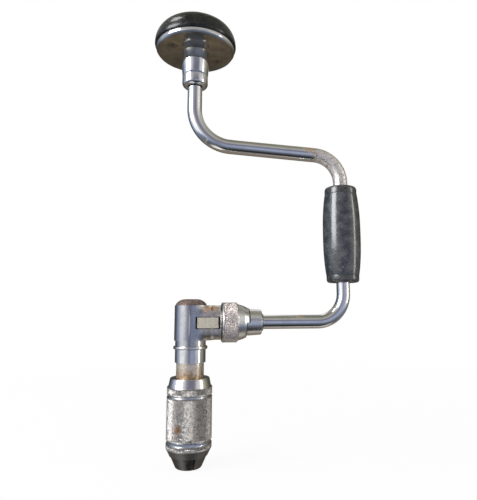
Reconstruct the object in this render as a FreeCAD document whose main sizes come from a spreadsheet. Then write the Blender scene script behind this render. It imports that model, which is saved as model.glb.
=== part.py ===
import FreeCAD, Part
import math
import os
import re
import Sketcher

# A bit brace, standing on the mouth of its jaws. The chuck's axis is Z, the arms reach out along +X
# to the grip, and the pawl window that shows from the front faces -Y. All sizes are in millimetres.

SIZES = {
    # Fits
    "running_clearance": 0.05,
    "press_clearance": 0.02,
    "turning_gap": 0.1,

    # Crank: a bent rod from the head down to the ratchet body
    "throw": 127.0,
    "upper_rod_radius": 6.2,
    "lower_rod_radius": 5.6,
    "rod_change_length": 8.0,
    "arm_rise": 148.7,
    "upper_arm_slope": 3.02,
    "head_bend_radius": 32.0,
    "upper_grip_bend_radius": 24.0,
    "lower_grip_bend_radius": 23.0,
    "rod_end": 36.0,
    "head_rise": 49.4,
    "head_spindle_radius": 5.0,

    # Grip
    "grip_lower_gap": 9.2,
    "grip_upper_gap": 4.53,
    "grip_bush_length": 6.2,
    "grip_top_bush_length": 6.6,
    "grip_end_radius": 13.8,
    "grip_middle_radius": 15.95,
    "grip_shoulder_length": 16.0,
    "grip_shoulder_radius": 15.55,
    "grip_shoulder_curve": 160.0,
    "grip_rounding": 3.6,
    "grip_spigot_radius": 9.0,
    "grip_spigot_length": 14.0,

    # Head: cup and balls below, neck and plate on a bush, pad on top
    "collar_height": 9.4,
    "collar_radius": 10.9,
    "collar_rounding": 3.6,
    "collar_recess_radius": 7.2,
    "collar_recess_depth": 2.0,
    "cup_radius": 9.9,
    "cup_depth": 4.3,
    "ball_radius": 1.75,
    "ball_circle_radius": 7.7,
    "ball_count": 13,
    "ball_play": 0.05,
    "thrust_boss_radius": 9.4,
    "thrust_bore_radius": 5.4,
    "neck_gap": 0.2,
    "neck_foot_radius": 10.3,
    "neck_bevel_radius": 11.1,
    "neck_bevel_height": 1.3,
    "neck_top_radius": 12.0,
    "neck_height": 21.6,
    "neck_fillet": 0.4,
    "plate_foot_radius": 32.2,
    "plate_rim_radius": 33.4,
    "plate_rim_height": 1.6,
    "plate_thickness": 4.9,
    "plate_recess_radius": 12.0,
    "plate_recess_depth": 2.9,
    "head_bush_radius": 7.5,
    "head_bush_length": 20.4,
    "head_washer_radius": 9.0,
    "head_washer_thickness": 1.4,
    "head_nut_flats": 15.0,
    "head_nut_height": 5.0,
    "pad_edge_radius": 18.9,
    "pad_edge_circle_radius": 15.9,
    "pad_edge_rise": 1.6,
    "pad_crown_rise": 0.6,
    "pad_hollow_radius": 12.5,
    "pad_hollow_depth": 5.6,
    "screw_count": 2,
    "screw_circle_radius": 22.1,
    "screw_angle": 208.0,
    "screw_head_radius": 4.2,
    "screw_shank_radius": 2.0,
    "screw_length": 17.0,
    "screw_point_length": 3.0,
    "screw_recess_span": 3.4,
    "screw_recess_width": 0.9,
    "screw_recess_depth": 1.2,

    # Ratchet body: an upright barrel with a boss and stem reaching out to the crank
    "barrel_radius": 12.9,
    "boss_radius": 13.4,
    "boss_half_width": 12.2,
    "boss_end": 23.5,
    "boss_flange_length": 0.7,
    "boss_flange_radius": 13.6,
    "foot_band_radius": 12.0,
    "barrel_lip": 0.2,
    "foot_band_height": 4.2,
    "wheel_cavity_radius": 8.5,
    "wheel_cavity_drop": 4.8,
    "journal_radius": 7.45,
    "slot_start": 3.3,
    "slot_end": 28.4,
    "slot_floor": 6.8,
    "slot_height": 9.4,
    "tooth_pocket_floor": 4.4,
    "tooth_pocket_end": 8.6,
    "stem_journal_radius": 9.6,
    "stem_step": 37.5,
    "stem_radius": 8.0,
    "stem_end": 56.7,
    "stem_lip_radius": 6.8,
    "stem_lip_length": 1.2,
    "cap_radius": 12.3,
    "cap_height": 4.9,
    "cap_flat_radius": 5.5,
    "cap_rim_height": 0.9,
    "cap_crown_curve": 9.5,
    "cap_spigot_length": 3.0,

    # Ratchet: wheel, pawls, their pins and springs
    "wheel_radius": 8.0,
    "wheel_root_radius": 6.9,
    "wheel_height": 9.6,
    "tooth_count": 12,
    "gap_outer_half_angle": 12.8,
    "gap_root_half_angle": 2.0,
    "gap_direction": 45.0,
    "gap_overcut": 1.0,
    "wheel_bore_radius": 5.0,
    "key_width": 2.4,
    "key_inside_radius": 3.8,
    "key_outside_radius": 6.1,
    "key_length": 8.0,
    "spindle_nut_flats": 14.0,
    "spindle_nut_height": 4.0,
    "spindle_tail_length": 0.5,
    "pin_place": 16.5,
    "pin_offset": 10.2,
    "pin_radius": 1.25,
    "pin_half_length": 8.2,
    "pawl_height": 8.3,
    "pawl_swing": 10.0,
    "pawl_nose_gap": 1.3,
    "tooth_tip_gap": 0.3,
    "tooth_front_rise": 0.2,
    "tooth_back_place": 7.2,
    "tooth_back_rise": 0.6,
    "pawl_belly_place": 12.0,
    "pawl_belly_rise": 1.3,
    "pawl_tail_rise": 2.5,
    "pawl_tail_bevel": 0.8,
    "tongue_root": 1.4,
    "tongue_inner_face": 9.6,
    "tongue_outer_face": 11.0,
    "tongue_bump_face": 12.0,
    "tongue_half_height": 1.2,
    "tongue_start": 21.4,
    "bump_start": 25.2,
    "tongue_end": 27.4,
    "spring_place": 21.0,
    "spring_radius": 1.5,
    "spring_wire_radius": 0.3,
    "spring_seat": 2.5,
    "spring_head": 8.3,
    "spring_turns": 6,

    # Selector: knurled ring on the stem, its click ball, and the collar that stops it
    "ring_start": 24.2,
    "ring_end": 36.8,
    "ring_radius": 15.9,
    "ring_bevel": 0.8,
    "cam_radius": 11.61,
    "cam_offset": 1.32,
    "cam_angle": 55.0,
    "skirt_radius": 15.0,
    "skirt_taper_end": 45.0,
    "skirt_end": 46.3,
    "skirt_end_radius": 11.3,
    "skirt_bore_radius": 8.3,
    "skirt_step_depth": 2.4,
    "shoulder_gap": 0.3,
    "click_groove_start": 31.4,
    "click_groove_end": 34.6,
    "click_groove_radius": 10.7,
    "click_place": 33.0,
    "click_ball_radius": 1.5,
    "click_ball_height": 8.75,
    "click_spring_radius": 1.2,
    "click_spring_seat": 3.0,
    "click_spring_turns": 5,
    "collar_stop_angle": 110.0,
    "rear_collar_start": 46.6,
    "rear_collar_end": 56.3,
    "rear_collar_front_radius": 10.6,
    "rear_collar_back_radius": 10.05,
    "rear_collar_bevel": 0.6,
    "stop_lug_depth": 2.5,
    "collar_pin_radius": 1.5,
    "collar_pin_half_length": 9.6,
    "collar_pin_place": 52.0,

    # Chuck: spindle, washer, shell and jaws
    "spindle_top_radius": 5.0,
    "washer_radius": 13.35,
    "washer_thickness": 2.4,
    "washer_rounding": 1.1,
    "collar_band_radius": 12.0,
    "collar_band_height": 10.0,
    "spindle_neck_radius": 10.8,
    "spindle_neck_length": 11.2,
    "thread_radius": 10.5,
    "spindle_end_gap": 4.0,
    "jaw_slot_width": 8.3,
    "jaw_slot_room": 5.0,
    "chuck_turn": 18.0,
    "shell_seat_gap": 0.3,
    "shell_taper": 1.4,
    "shell_radius": 17.5,
    "shell_taper_height": 6.7,
    "shell_shoulder_step": 0.9,
    "upper_band_height": 5.4,
    "upper_groove_width": 1.9,
    "body_knurl_length": 31.1,
    "lower_groove_width": 3.0,
    "lower_band_height": 3.3,
    "mouth_bevel_height": 5.7,
    "shell_mouth_bottom": 9.2,
    "mouth_bevel_width": 2.9,
    "shell_groove_depth": 0.7,
    "groove_bevel": 0.4,
    "shell_thread_length": 15.3,
    "shell_wall": 1.55,
    "ring_wire_radius": 0.8,
    "ring_wire_rise": 10.8,
    "jaw_nose_radius": 9.8,
    "jaw_nose_rounding": 2.0,
    "jaw_taper": 0.46,
    "jaw_seat_gap": 0.06,
    "jaw_cone_height": 10.4,
    "jaw_body_radius": 12.0,
    "jaw_body_length": 21.6,
    "jaw_tail_length": 13.0,
    "jaw_tail_width": 8.0,
    "jaw_tail_reach": 9.5,
    "jaw_split": 0.8,
    "bit_radius": 3.2,
    "jaw_spring_rise": 8.0,
    "jaw_spring_radius": 1.5,
    "jaw_spring_half_length": 5.0,
    "jaw_spring_turns": 7,
}

PLACES = {
    # Heights of the chuck's pieces, up from the jaws' mouth to the lower arm
    "lower_band_bottom": "shell_mouth_bottom + mouth_bevel_height",
    "lower_groove_bottom": "lower_band_bottom + lower_band_height",
    "body_knurl_bottom": "lower_groove_bottom + lower_groove_width",
    "upper_groove_bottom": "body_knurl_bottom + body_knurl_length",
    "upper_band_bottom": "upper_groove_bottom + upper_groove_width",
    "shell_shoulder": "upper_band_bottom + upper_band_height",
    "shell_top": "shell_shoulder + shell_taper_height",
    "spindle_neck_bottom": "shell_top + shell_seat_gap",
    "band_bottom": "spindle_neck_bottom + spindle_neck_length",
    "band_top": "band_bottom + collar_band_height",
    "washer_bottom": "band_top + turning_gap",
    "washer_top": "washer_bottom + washer_thickness",
    "body_bottom": "washer_top + turning_gap",
    "barrel_bottom": "body_bottom + foot_band_height",
    "arm_height": "barrel_bottom + barrel_lip + boss_radius",

    # Crank
    "upper_arm_height": "arm_height + arm_rise",
    "grip_arm_height": "upper_arm_height - throw * tan(upper_arm_slope)",
    "bend_share": "tan((90 - upper_arm_slope) / 2)",
    "head_bend_reach": "head_bend_radius * bend_share",
    "grip_bend_reach": "upper_grip_bend_radius * bend_share",
    "collar_bottom": "upper_arm_height + head_rise",
    "collar_shoulder": "collar_bottom + collar_recess_depth",

    # Grip
    "grip_bottom": "arm_height + lower_grip_bend_radius + grip_lower_gap",
    "grip_top": "grip_arm_height - grip_bend_reach - grip_upper_gap",
    "rod_change_height": "(grip_bottom + grip_top) / 2",
    "grip_sleeve_bottom": "grip_bottom + grip_bush_length",
    "grip_sleeve_top": "grip_top - grip_top_bush_length",
    "grip_sleeve_length": "grip_sleeve_top - grip_sleeve_bottom",
    "grip_belly_half": "grip_sleeve_length / 2 - grip_shoulder_length",
    "grip_belly_rise": "grip_middle_radius - grip_shoulder_radius",
    "grip_middle_curve": "(grip_belly_half ^ 2 + grip_belly_rise ^ 2) / (2 * grip_belly_rise)",

    # Head
    "collar_top": "collar_bottom + collar_height",
    "cup_floor": "collar_top - cup_depth",
    "ball_height": "cup_floor + ball_play + ball_radius",
    "thrust_face": "ball_height + ball_radius + ball_play",
    "neck_bottom": "collar_top + neck_gap",
    "plate_bottom": "neck_bottom + neck_height",
    "plate_top": "plate_bottom + plate_thickness",
    "plate_recess_floor": "plate_top - plate_recess_depth",
    "head_bush_bottom": "plate_recess_floor - turning_gap - head_bush_length",
    "head_nut_bottom": "plate_recess_floor + turning_gap + head_washer_thickness",
    "head_spindle_top": "head_nut_bottom + head_nut_height",
    "head_bore_radius": "head_spindle_radius + running_clearance",
    "pad_edge_height": "plate_top + pad_edge_rise",
    "pad_foot_radius": "pad_edge_circle_radius + sqrt(pad_edge_radius ^ 2 - pad_edge_rise ^ 2)",
    "pad_top": "pad_edge_height + pad_edge_radius + pad_crown_rise",
    "crown_drop": "(pad_edge_circle_radius ^ 2 - pad_crown_rise ^ 2) / (2 * pad_crown_rise)",
    "crown_radius": "crown_drop + pad_edge_radius + pad_crown_rise",
    "crown_stretch": "crown_radius / (crown_radius - pad_edge_radius)",
    "crown_join_radius": "pad_edge_circle_radius * crown_stretch",
    "crown_join_height": "pad_top - crown_radius + crown_drop * crown_stretch",
    "screw_cone": "screw_head_radius - screw_shank_radius",

    # Ratchet body
    "barrel_top": "arm_height + boss_radius + barrel_lip",
    "wheel_cavity_floor": "arm_height - wheel_cavity_drop",
    "slot_bottom": "arm_height + wheel_lift - slot_height / 2",
    "wheel_bottom": "wheel_cavity_floor + turning_gap",
    "wheel_top": "wheel_bottom + wheel_height",
    "wheel_lift": "wheel_bottom + wheel_height / 2 - arm_height",
    "nut_top": "wheel_top + spindle_nut_height",
    "spindle_top": "nut_top + spindle_tail_length",
    "pawl_middle": "arm_height + wheel_lift",
    "key_bottom": "wheel_bottom + (wheel_height - key_length) / 2",

    # Selector
    "ring_bore_radius": "stem_journal_radius + running_clearance",
    "ring_shoulder": "stem_step + shoulder_gap",

    # Chuck
    "shell_shoulder_radius": "shell_radius - shell_shoulder_step",
    "shell_top_radius": "shell_shoulder_radius - shell_taper",
    "shell_mouth_radius": "shell_radius - mouth_bevel_width",
    "shell_groove_radius": "shell_radius - shell_groove_depth",
    "shell_cavity_radius": "shell_radius - shell_wall",
    "jaw_body_top": "jaw_cone_height + jaw_body_length",
    "jaw_tail_top": "jaw_body_top + jaw_tail_length",
    "jaw_slot_top": "jaw_tail_top + jaw_slot_room",
    "jaw_spring_height": "jaw_body_top + jaw_spring_rise",
    "spindle_bottom": "jaw_body_top + spindle_end_gap",
    "shell_thread_bottom": "shell_top - shell_thread_length",
    "shell_mouth_inner": "jaw_nose_radius + jaw_seat_gap + jaw_taper * shell_mouth_bottom",
    "shell_cone_top": "(shell_cavity_radius - jaw_nose_radius - jaw_seat_gap) / jaw_taper",
    "ring_wire_height": "shell_cone_top + ring_wire_rise",
    "jaw_slant": "sqrt(1 + jaw_taper ^ 2)",
    "jaw_nose_corner": "jaw_nose_rounding * (1 - jaw_taper / jaw_slant)",
    "jaw_nose_foot": "jaw_nose_radius - jaw_nose_rounding * (jaw_slant - jaw_taper)",
    "jaw_cone_radius": "jaw_nose_radius + jaw_taper * jaw_cone_height",
    "wire_room": "ring_wire_radius + turning_gap",
}

doc = FreeCAD.newDocument("bit_brace")


def words_in_sheets(text):
    """Put each sheet's name before its words, as an expression outside the sheet needs it."""
    def with_sheet(match):
        word = match.group(0)
        if word in SIZES:
            return "Sizes." + word
        if word in PLACES:
            return "Places." + word
        return word
    return re.sub(r"[A-Za-z_]\w*", with_sheet, str(text))


def fill_sheet(name, rows, as_formula):
    table = doc.addObject("Spreadsheet::Sheet", name)
    for row, (alias, value) in enumerate(rows.items(), start=1):
        table.set("A%d" % row, alias)
        table.setAlias("B%d" % row, alias)
        table.set("B%d" % row, as_formula(value))
    return table


def place_formula(text):
    """Words of the same sheet stay bare, words of the sizes get their sheet's name."""
    return "=" + words_in_sheets(text).replace("Places.", "")


sizes = fill_sheet("Sizes", SIZES, str)
places = fill_sheet("Places", PLACES, place_formula)
doc.recompute()


def number(text):
    return float(sizes.evalExpression(words_in_sheets(text)))


def bind(piece, **formulas):
    """Bind properties to the sheets. A double underscore stands for a dot."""
    for name, text in formulas.items():
        piece.setExpression(name.replace("__", "."), words_in_sheets(text))


def origin_plane(body, role):
    return [plane for plane in body.Origin.OriginFeatures if plane.Role == role][0]


def add_edge(sketch, start, end, bend):
    """Add a line, or an arc that turns left for a bend above zero and right below it.

    Returns the point numbers of the edge's two ends, in the order of travel."""
    if bend == 0:
        sketch.addGeometry(Part.LineSegment(start, end), False)
        return 1, 2
    chord = end - start
    across = FreeCAD.Vector(-chord.y, chord.x, 0).normalize()
    rise = math.sqrt(max(bend * bend - chord.Length * chord.Length / 4, 0))
    centre = (start + end) * 0.5 + across * math.copysign(rise, bend)
    first, last = (start, end) if bend > 0 else (end, start)
    circle = Part.Circle(centre, FreeCAD.Vector(0, 0, 1), abs(bend))
    angles = [math.atan2(spot.y - centre.y, spot.x - centre.x) for spot in (first, last)]
    sketch.addGeometry(Part.ArcOfCircle(circle, angles[0], angles[1]), False)
    return (1, 2) if bend > 0 else (2, 1)


def draw(body, name, plane, corners, closed=True):
    """Draw an outline on one of the body's own planes.

    Each corner is (across, up), or (across, up, bend) where an arc leads to the next corner."""
    sketch = body.newObject("Sketcher::SketchObject", name)
    sketch.AttachmentSupport = [(origin_plane(body, plane), "")]
    sketch.MapMode = "FlatFace"
    spots = [FreeCAD.Vector(number(corner[0]), number(corner[1]), 0) for corner in corners]
    edge_count = len(corners) if closed else len(corners) - 1
    ends = []
    for i in range(edge_count):
        bend = corners[i][2] if len(corners[i]) > 2 else 0
        ends.append(add_edge(sketch, spots[i], spots[(i + 1) % len(spots)], number(bend)))
        if bend:
            row = sketch.addConstraint(Sketcher.Constraint("Radius", i, abs(number(bend))))
            sketch.setExpression("Constraints[%d]" % row, words_in_sheets("abs(%s)" % bend))
    for i in range(edge_count if closed else edge_count - 1):
        after = (i + 1) % edge_count
        sketch.addConstraint(Sketcher.Constraint("Coincident", i, ends[i][1], after, ends[after][0]))
    for i, corner in enumerate(corners):
        edge, end = (i, ends[i][0]) if i < edge_count else (i - 1, ends[i - 1][1])
        places_of_corner = (("DistanceX", corner[0], spots[i].x), ("DistanceY", corner[1], spots[i].y))
        for kind, text, value in places_of_corner:
            row = sketch.addConstraint(Sketcher.Constraint(kind, -1, 1, edge, end, value))
            if text != 0:
                sketch.setExpression("Constraints[%d]" % row, words_in_sheets(text))
    return sketch


def draw_circle(body, name, plane, offset, height, radius):
    """Draw a bar's round section across its start, at a height on the plane's upward axis."""
    sketch = body.newObject("Sketcher::SketchObject", name)
    sketch.AttachmentSupport = [(origin_plane(body, plane), "")]
    sketch.MapMode = "FlatFace"
    bind(sketch, AttachmentOffset__Base__z=offset)
    middle = FreeCAD.Vector(0, number(height), 0)
    sketch.addGeometry(Part.Circle(middle, FreeCAD.Vector(0, 0, 1), number(radius)))
    sketch.addConstraint(Sketcher.Constraint("DistanceX", -1, 1, 0, 3, 0))
    sketch.addConstraint(Sketcher.Constraint("DistanceY", -1, 1, 0, 3, middle.y))
    sketch.setExpression("Constraints[1]", words_in_sheets(height))
    sketch.addConstraint(Sketcher.Constraint("Radius", 0, number(radius)))
    sketch.setExpression("Constraints[2]", words_in_sheets(radius))
    return sketch


def turned(name, corners):
    """A turned piece: the outline, radius and height, taken once round the vertical axis."""
    body = doc.addObject("PartDesign::Body", name)
    profile = draw(body, name + "_outline", "XZ_Plane", corners)
    turn = body.newObject("PartDesign::Revolution", name + "_turning")
    turn.Profile = profile
    turn.ReferenceAxis = (profile, ["V_Axis"])
    turn.Angle = 360
    body.Tip = turn
    return body


def cut_from_plate(name, corners, thickness):
    """A flat piece: the outline, drawn from above, raised to its thickness."""
    body = doc.addObject("PartDesign::Body", name)
    pad = body.newObject("PartDesign::Pad", name + "_thickness")
    pad.Profile = draw(body, name + "_outline", "XY_Plane", corners)
    bind(pad, Length=thickness)
    body.Tip = pad
    return body


def cylinder(name, radius, bottom, top):
    piece = doc.addObject("Part::Cylinder", name)
    bind(piece, Radius=radius, Height="(%s) - (%s)" % (top, bottom), Placement__Base__z=bottom)
    return piece


def arm_cylinder(name, radius, start, end):
    """A cylinder along +X on the lower arm's axis."""
    piece = doc.addObject("Part::Cylinder", name)
    piece.Placement.Rotation = FreeCAD.Rotation(FreeCAD.Vector(0, 1, 0), 90)
    bind(piece, Radius=radius, Height="(%s) - (%s)" % (end, start))
    bind(piece, Placement__Base__x=start, Placement__Base__z="arm_height")
    return piece


def block(name, along, across, height):
    """A box from its lowest and highest place along X, Y and Z."""
    piece = doc.addObject("Part::Box", name)
    bind(piece, Length="(%s) - (%s)" % (along[1], along[0]), Placement__Base__x=along[0])
    bind(piece, Width="(%s) - (%s)" % (across[1], across[0]), Placement__Base__y=across[0])
    bind(piece, Height="(%s) - (%s)" % (height[1], height[0]), Placement__Base__z=height[0])
    return piece


def hexagon(name, flats, bottom, height):
    piece = doc.addObject("Part::Prism", name)
    piece.Polygon = 6
    bind(piece, Circumradius="(%s) / sqrt(3)" % flats, Height=height, Placement__Base__z=bottom)
    return piece


def joined(name, *members):
    piece = doc.addObject("Part::MultiFuse", name)
    piece.Shapes = list(members)
    piece.Refine = True
    return piece


def cut(name, base, *tools):
    piece = doc.addObject("Part::Cut", name)
    piece.Base = base
    piece.Tool = tools[0] if len(tools) == 1 else joined(name + "_cuts", *tools)
    piece.Refine = True
    return piece


def shared(name, *members):
    piece = doc.addObject("Part::MultiCommon", name)
    piece.Shapes = list(members)
    piece.Refine = True
    return piece


def group(name, members):
    piece = doc.addObject("Part::Compound", name)
    piece.Links = list(members)
    return piece


def turn_with_chuck(piece):
    """Turn a piece about the chuck's axis to where the chuck stands at rest."""
    bind(piece, Placement__Rotation__Angle="chuck_turn")
    return piece


sub_parts = []


def finished(piece, label):
    piece.Label = label
    sub_parts.append(piece)
    return piece


def coil(name, radius, wire, start, end, turns):
    """A compression spring of round wire, wound about Z from start to end, inside its outer radius."""
    middle = number(radius) - number(wire)
    low = number(start) + number(wire)
    span = number(end) - number(wire) - low
    helix = Part.makeHelix(span / number(turns), span, middle)
    circle = Part.Circle(FreeCAD.Vector(middle, 0, 0), FreeCAD.Vector(0, 1, 0), number(wire))
    section = Part.Wire(circle.toShape())
    spring = doc.addObject("Part::Feature", name)
    spring.Shape = Part.Wire(helix.Edges).makePipeShell([section], True, True)
    spring.Placement.Base.z = low
    return spring


# Crank rod: one bar, bent from the head's spindle to the stem of the ratchet body.
rod = doc.addObject("PartDesign::Body", "rod")
slope_along = "cos(upper_arm_slope)"
slope_down = "sin(upper_arm_slope)"
upper_path = draw(rod, "upper_path", "XZ_Plane", [
    (0, "collar_shoulder"),
    (0, "upper_arm_height + head_bend_reach", "head_bend_radius"),
    ("head_bend_reach * " + slope_along, "upper_arm_height - head_bend_reach * " + slope_down),
    ("throw - grip_bend_reach * " + slope_along, "grip_arm_height + grip_bend_reach * " + slope_down,
     "-upper_grip_bend_radius"),
    ("throw", "grip_arm_height - grip_bend_reach"),
    ("throw", "rod_change_height"),
], closed=False)
upper_section = draw_circle(rod, "upper_section", "XY_Plane", "collar_shoulder", "0", "upper_rod_radius")
upper_run = rod.newObject("PartDesign::AdditivePipe", "upper_run")
upper_run.Profile = upper_section
upper_run.Spine = upper_path
rod.Tip = upper_run

lower_rod = doc.addObject("PartDesign::Body", "lower_rod")
lower_path = draw(lower_rod, "lower_path", "XZ_Plane", [
    ("rod_end", "arm_height"),
    ("throw - lower_grip_bend_radius", "arm_height", "lower_grip_bend_radius"),
    ("throw", "arm_height + lower_grip_bend_radius"),
    ("throw", "rod_change_height - rod_change_length"),
], closed=False)
lower_section = draw_circle(lower_rod, "lower_section", "YZ_Plane", "rod_end", "arm_height",
                            "lower_rod_radius")
lower_run = lower_rod.newObject("PartDesign::AdditivePipe", "lower_run")
lower_run.Profile = lower_section
lower_run.Spine = lower_path
lower_rod.Tip = lower_run

rod_change = doc.addObject("Part::Cone", "rod_change")
bind(rod_change, Radius1="lower_rod_radius", Radius2="upper_rod_radius", Height="rod_change_length")
bind(rod_change, Placement__Base__x="throw", Placement__Base__z="rod_change_height - rod_change_length")
head_spindle = cylinder("head_spindle", "head_spindle_radius", "collar_shoulder", "head_spindle_top")
collar_pin_hole = cylinder("collar_pin_hole", "collar_pin_radius + press_clearance",
                           "barrel_bottom", "barrel_top")
bind(collar_pin_hole, Placement__Base__x="collar_pin_place")
bent_bar = joined("bent_bar", rod, lower_rod, rod_change, head_spindle)
finished(cut("crank", bent_bar, collar_pin_hole), "crank_rod")

# Grip: a sleeve that turns on the rod, on a flanged bush at each end.
grip_bore = "upper_rod_radius + running_clearance"
sleeve_bore = "grip_spigot_radius + press_clearance"
sleeve = turned("sleeve", [
    (sleeve_bore, "grip_sleeve_bottom"),
    ("grip_end_radius", "grip_sleeve_bottom", "grip_shoulder_curve"),
    ("grip_shoulder_radius", "grip_sleeve_bottom + grip_shoulder_length", "grip_middle_curve"),
    ("grip_shoulder_radius", "grip_sleeve_top - grip_shoulder_length", "grip_shoulder_curve"),
    ("grip_end_radius", "grip_sleeve_top"),
    (sleeve_bore, "grip_sleeve_top"),
])
bind(sleeve, Placement__Base__x="throw")
finished(sleeve, "grip_sleeve")


def grip_bush(name, seam, length):
    """A flanged bush, drawn upwards from its flange's outer end, with its spigot in the sleeve."""
    bush = turned(name, [
        (grip_bore, 0),
        ("grip_end_radius - turning_gap - grip_rounding", 0, "grip_rounding"),
        ("grip_end_radius - turning_gap", "grip_rounding"),
        ("grip_end_radius - turning_gap", "(%s) - press_clearance" % length),
        ("grip_spigot_radius", "(%s) - press_clearance" % length),
        ("grip_spigot_radius", "(%s) + grip_spigot_length" % length),
        (grip_bore, "(%s) + grip_spigot_length" % length),
    ])
    bind(bush, Placement__Base__x="throw", Placement__Base__z=seam)
    return bush


lower_bush = grip_bush("lower_bush", "grip_bottom", "grip_bush_length")
finished(lower_bush, "grip_bush_bottom")
upper_bush = grip_bush("upper_bush", "grip_top", "grip_top_bush_length")
upper_bush.Placement.Rotation = FreeCAD.Rotation(FreeCAD.Vector(1, 0, 0), 180)
finished(upper_bush, "grip_bush_top")

# Head: the collar is fixed to the crank and carries the balls that take the push.
collar = turned("collar", [
    ("collar_recess_radius", "collar_bottom"),
    ("collar_radius - collar_rounding", "collar_bottom", "collar_rounding"),
    ("collar_radius", "collar_bottom + collar_rounding"),
    ("collar_radius", "collar_top"),
    ("cup_radius", "collar_top"),
    ("cup_radius", "cup_floor"),
    ("head_spindle_radius + press_clearance", "cup_floor"),
    ("head_spindle_radius + press_clearance", "collar_shoulder"),
    ("collar_recess_radius", "collar_shoulder"),
])
finished(collar, "head_collar")

ball_ring = []
for i in range(int(number("ball_count"))):
    ball = doc.addObject("Part::Sphere", "ball_%d" % (i + 1))
    direction = "360 * %d / ball_count" % i
    bind(ball, Radius="ball_radius", Placement__Base__z="ball_height")
    bind(ball, Placement__Base__x="ball_circle_radius * cos(%s)" % direction)
    bind(ball, Placement__Base__y="ball_circle_radius * sin(%s)" % direction)
    ball_ring.append(ball)
finished(group("balls", ball_ring), "head_bearing_balls")

plate = turned("plate", [
    ("thrust_bore_radius", "thrust_face"),
    ("thrust_boss_radius", "thrust_face"),
    ("thrust_boss_radius", "neck_bottom"),
    ("neck_foot_radius", "neck_bottom"),
    ("neck_bevel_radius", "neck_bottom + neck_bevel_height"),
    ("neck_top_radius", "plate_bottom - neck_fillet", "-neck_fillet"),
    ("neck_top_radius + neck_fillet", "plate_bottom"),
    ("plate_foot_radius", "plate_bottom"),
    ("plate_rim_radius", "plate_bottom + plate_rim_height"),
    ("plate_rim_radius", "plate_top"),
    ("plate_recess_radius", "plate_top"),
    ("plate_recess_radius", "plate_recess_floor"),
    ("head_bush_radius + press_clearance", "plate_recess_floor"),
    ("head_bush_radius + press_clearance", "head_bush_bottom"),
    ("thrust_bore_radius", "head_bush_bottom"),
])
screws = []
screw_holes = []
for i in range(int(number("screw_count"))):
    direction = "(screw_angle + 360 * %d / screw_count)" % i
    along = "screw_circle_radius * cos%s" % direction
    out = "screw_circle_radius * sin%s" % direction
    for kind, gap, kept in (("screw", "0", screws), ("screw_hole", "press_clearance", screw_holes)):
        bolt = turned("%s_%d" % (kind, i + 1), [
            (0, 0),
            ("screw_head_radius + " + gap, 0),
            ("screw_shank_radius + " + gap, "screw_cone"),
            ("screw_shank_radius + " + gap, "screw_length - screw_point_length"),
            (0, "screw_length + " + gap),
        ])
        bind(bolt, Placement__Base__x=along, Placement__Base__y=out, Placement__Base__z="plate_bottom")
        kept.append(bolt)
    cross = []
    for length, width in (("span", "width"), ("width", "span")):
        reach = [" %s screw_recess_%s / 2" % (sign, length) for sign in "-+"]
        half = [" %s screw_recess_%s / 2" % (sign, width) for sign in "-+"]
        cross.append(block("screw_recess_%s_%d" % (length, i + 1), (along + reach[0], along + reach[1]),
                           (out + half[0], out + half[1]),
                           ("plate_bottom", "plate_bottom + screw_recess_depth")))
    screws[i] = cut("recessed_screw_%d" % (i + 1), screws[i], *cross)
finished(cut("drilled_plate", plate, *screw_holes), "head_flange")
finished(group("screws", screws), "head_screws")

finished(turned("head_bearing", [
    ("head_bore_radius", "head_bush_bottom"),
    ("head_bush_radius", "head_bush_bottom"),
    ("head_bush_radius", "plate_recess_floor - turning_gap"),
    ("head_bore_radius", "plate_recess_floor - turning_gap"),
]), "head_bush")
finished(turned("head_thrust_washer", [
    ("head_bore_radius", "plate_recess_floor + turning_gap"),
    ("head_washer_radius", "plate_recess_floor + turning_gap"),
    ("head_washer_radius", "head_nut_bottom"),
    ("head_bore_radius", "head_nut_bottom"),
]), "head_washer")
head_nut = hexagon("head_nut_blank", "head_nut_flats", "head_nut_bottom", "head_nut_height")
head_nut_bore = cylinder("head_nut_bore", "head_spindle_radius", "head_nut_bottom", "head_spindle_top")
finished(cut("head_nut_bored", head_nut, head_nut_bore), "head_nut")

pad = turned("pad", [
    ("pad_hollow_radius", "plate_top"),
    ("pad_foot_radius", "plate_top", "pad_edge_radius"),
    ("crown_join_radius", "crown_join_height", "crown_radius"),
    (0, "pad_top"),
    (0, "plate_top + pad_hollow_depth"),
    ("pad_hollow_radius", "plate_top + pad_hollow_depth"),
])
finished(cut("drilled_pad", pad, *screw_holes), "head_pad")

# Ratchet body: one casting, bored for the wheel, slotted at both sides for the pawls.
barrel = cylinder("barrel", "barrel_radius", "barrel_bottom", "barrel_top")
foot_band = cylinder("foot_band", "foot_band_radius", "body_bottom", "barrel_bottom")
boss = shared("flat_boss", arm_cylinder("boss", "boss_radius", "0", "boss_end"),
              block("boss_flats", ("0", "boss_end"), ("-boss_half_width", "boss_half_width"),
                    ("body_bottom", "barrel_top + foot_band_height")))
boss_flange = arm_cylinder("boss_flange", "boss_flange_radius", "boss_end - boss_flange_length", "boss_end")
stem_journal = arm_cylinder("stem_journal", "stem_journal_radius", "boss_end", "stem_step")
stem = arm_cylinder("stem", "stem_radius", "stem_step", "stem_end")
stem_lip = arm_cylinder("stem_lip", "stem_lip_radius", "stem_end", "stem_end + stem_lip_length")
casting = joined("casting", barrel, foot_band, boss, boss_flange, stem_journal, stem, stem_lip)

body_cuts = [
    cylinder("journal_bore", "journal_radius + running_clearance", "body_bottom", "wheel_cavity_floor"),
    cylinder("wheel_cavity", "wheel_cavity_radius", "wheel_cavity_floor", "barrel_top"),
    arm_cylinder("rod_socket", "lower_rod_radius + press_clearance",
                 "rod_end", "stem_end + stem_lip_length"),
]


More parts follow.
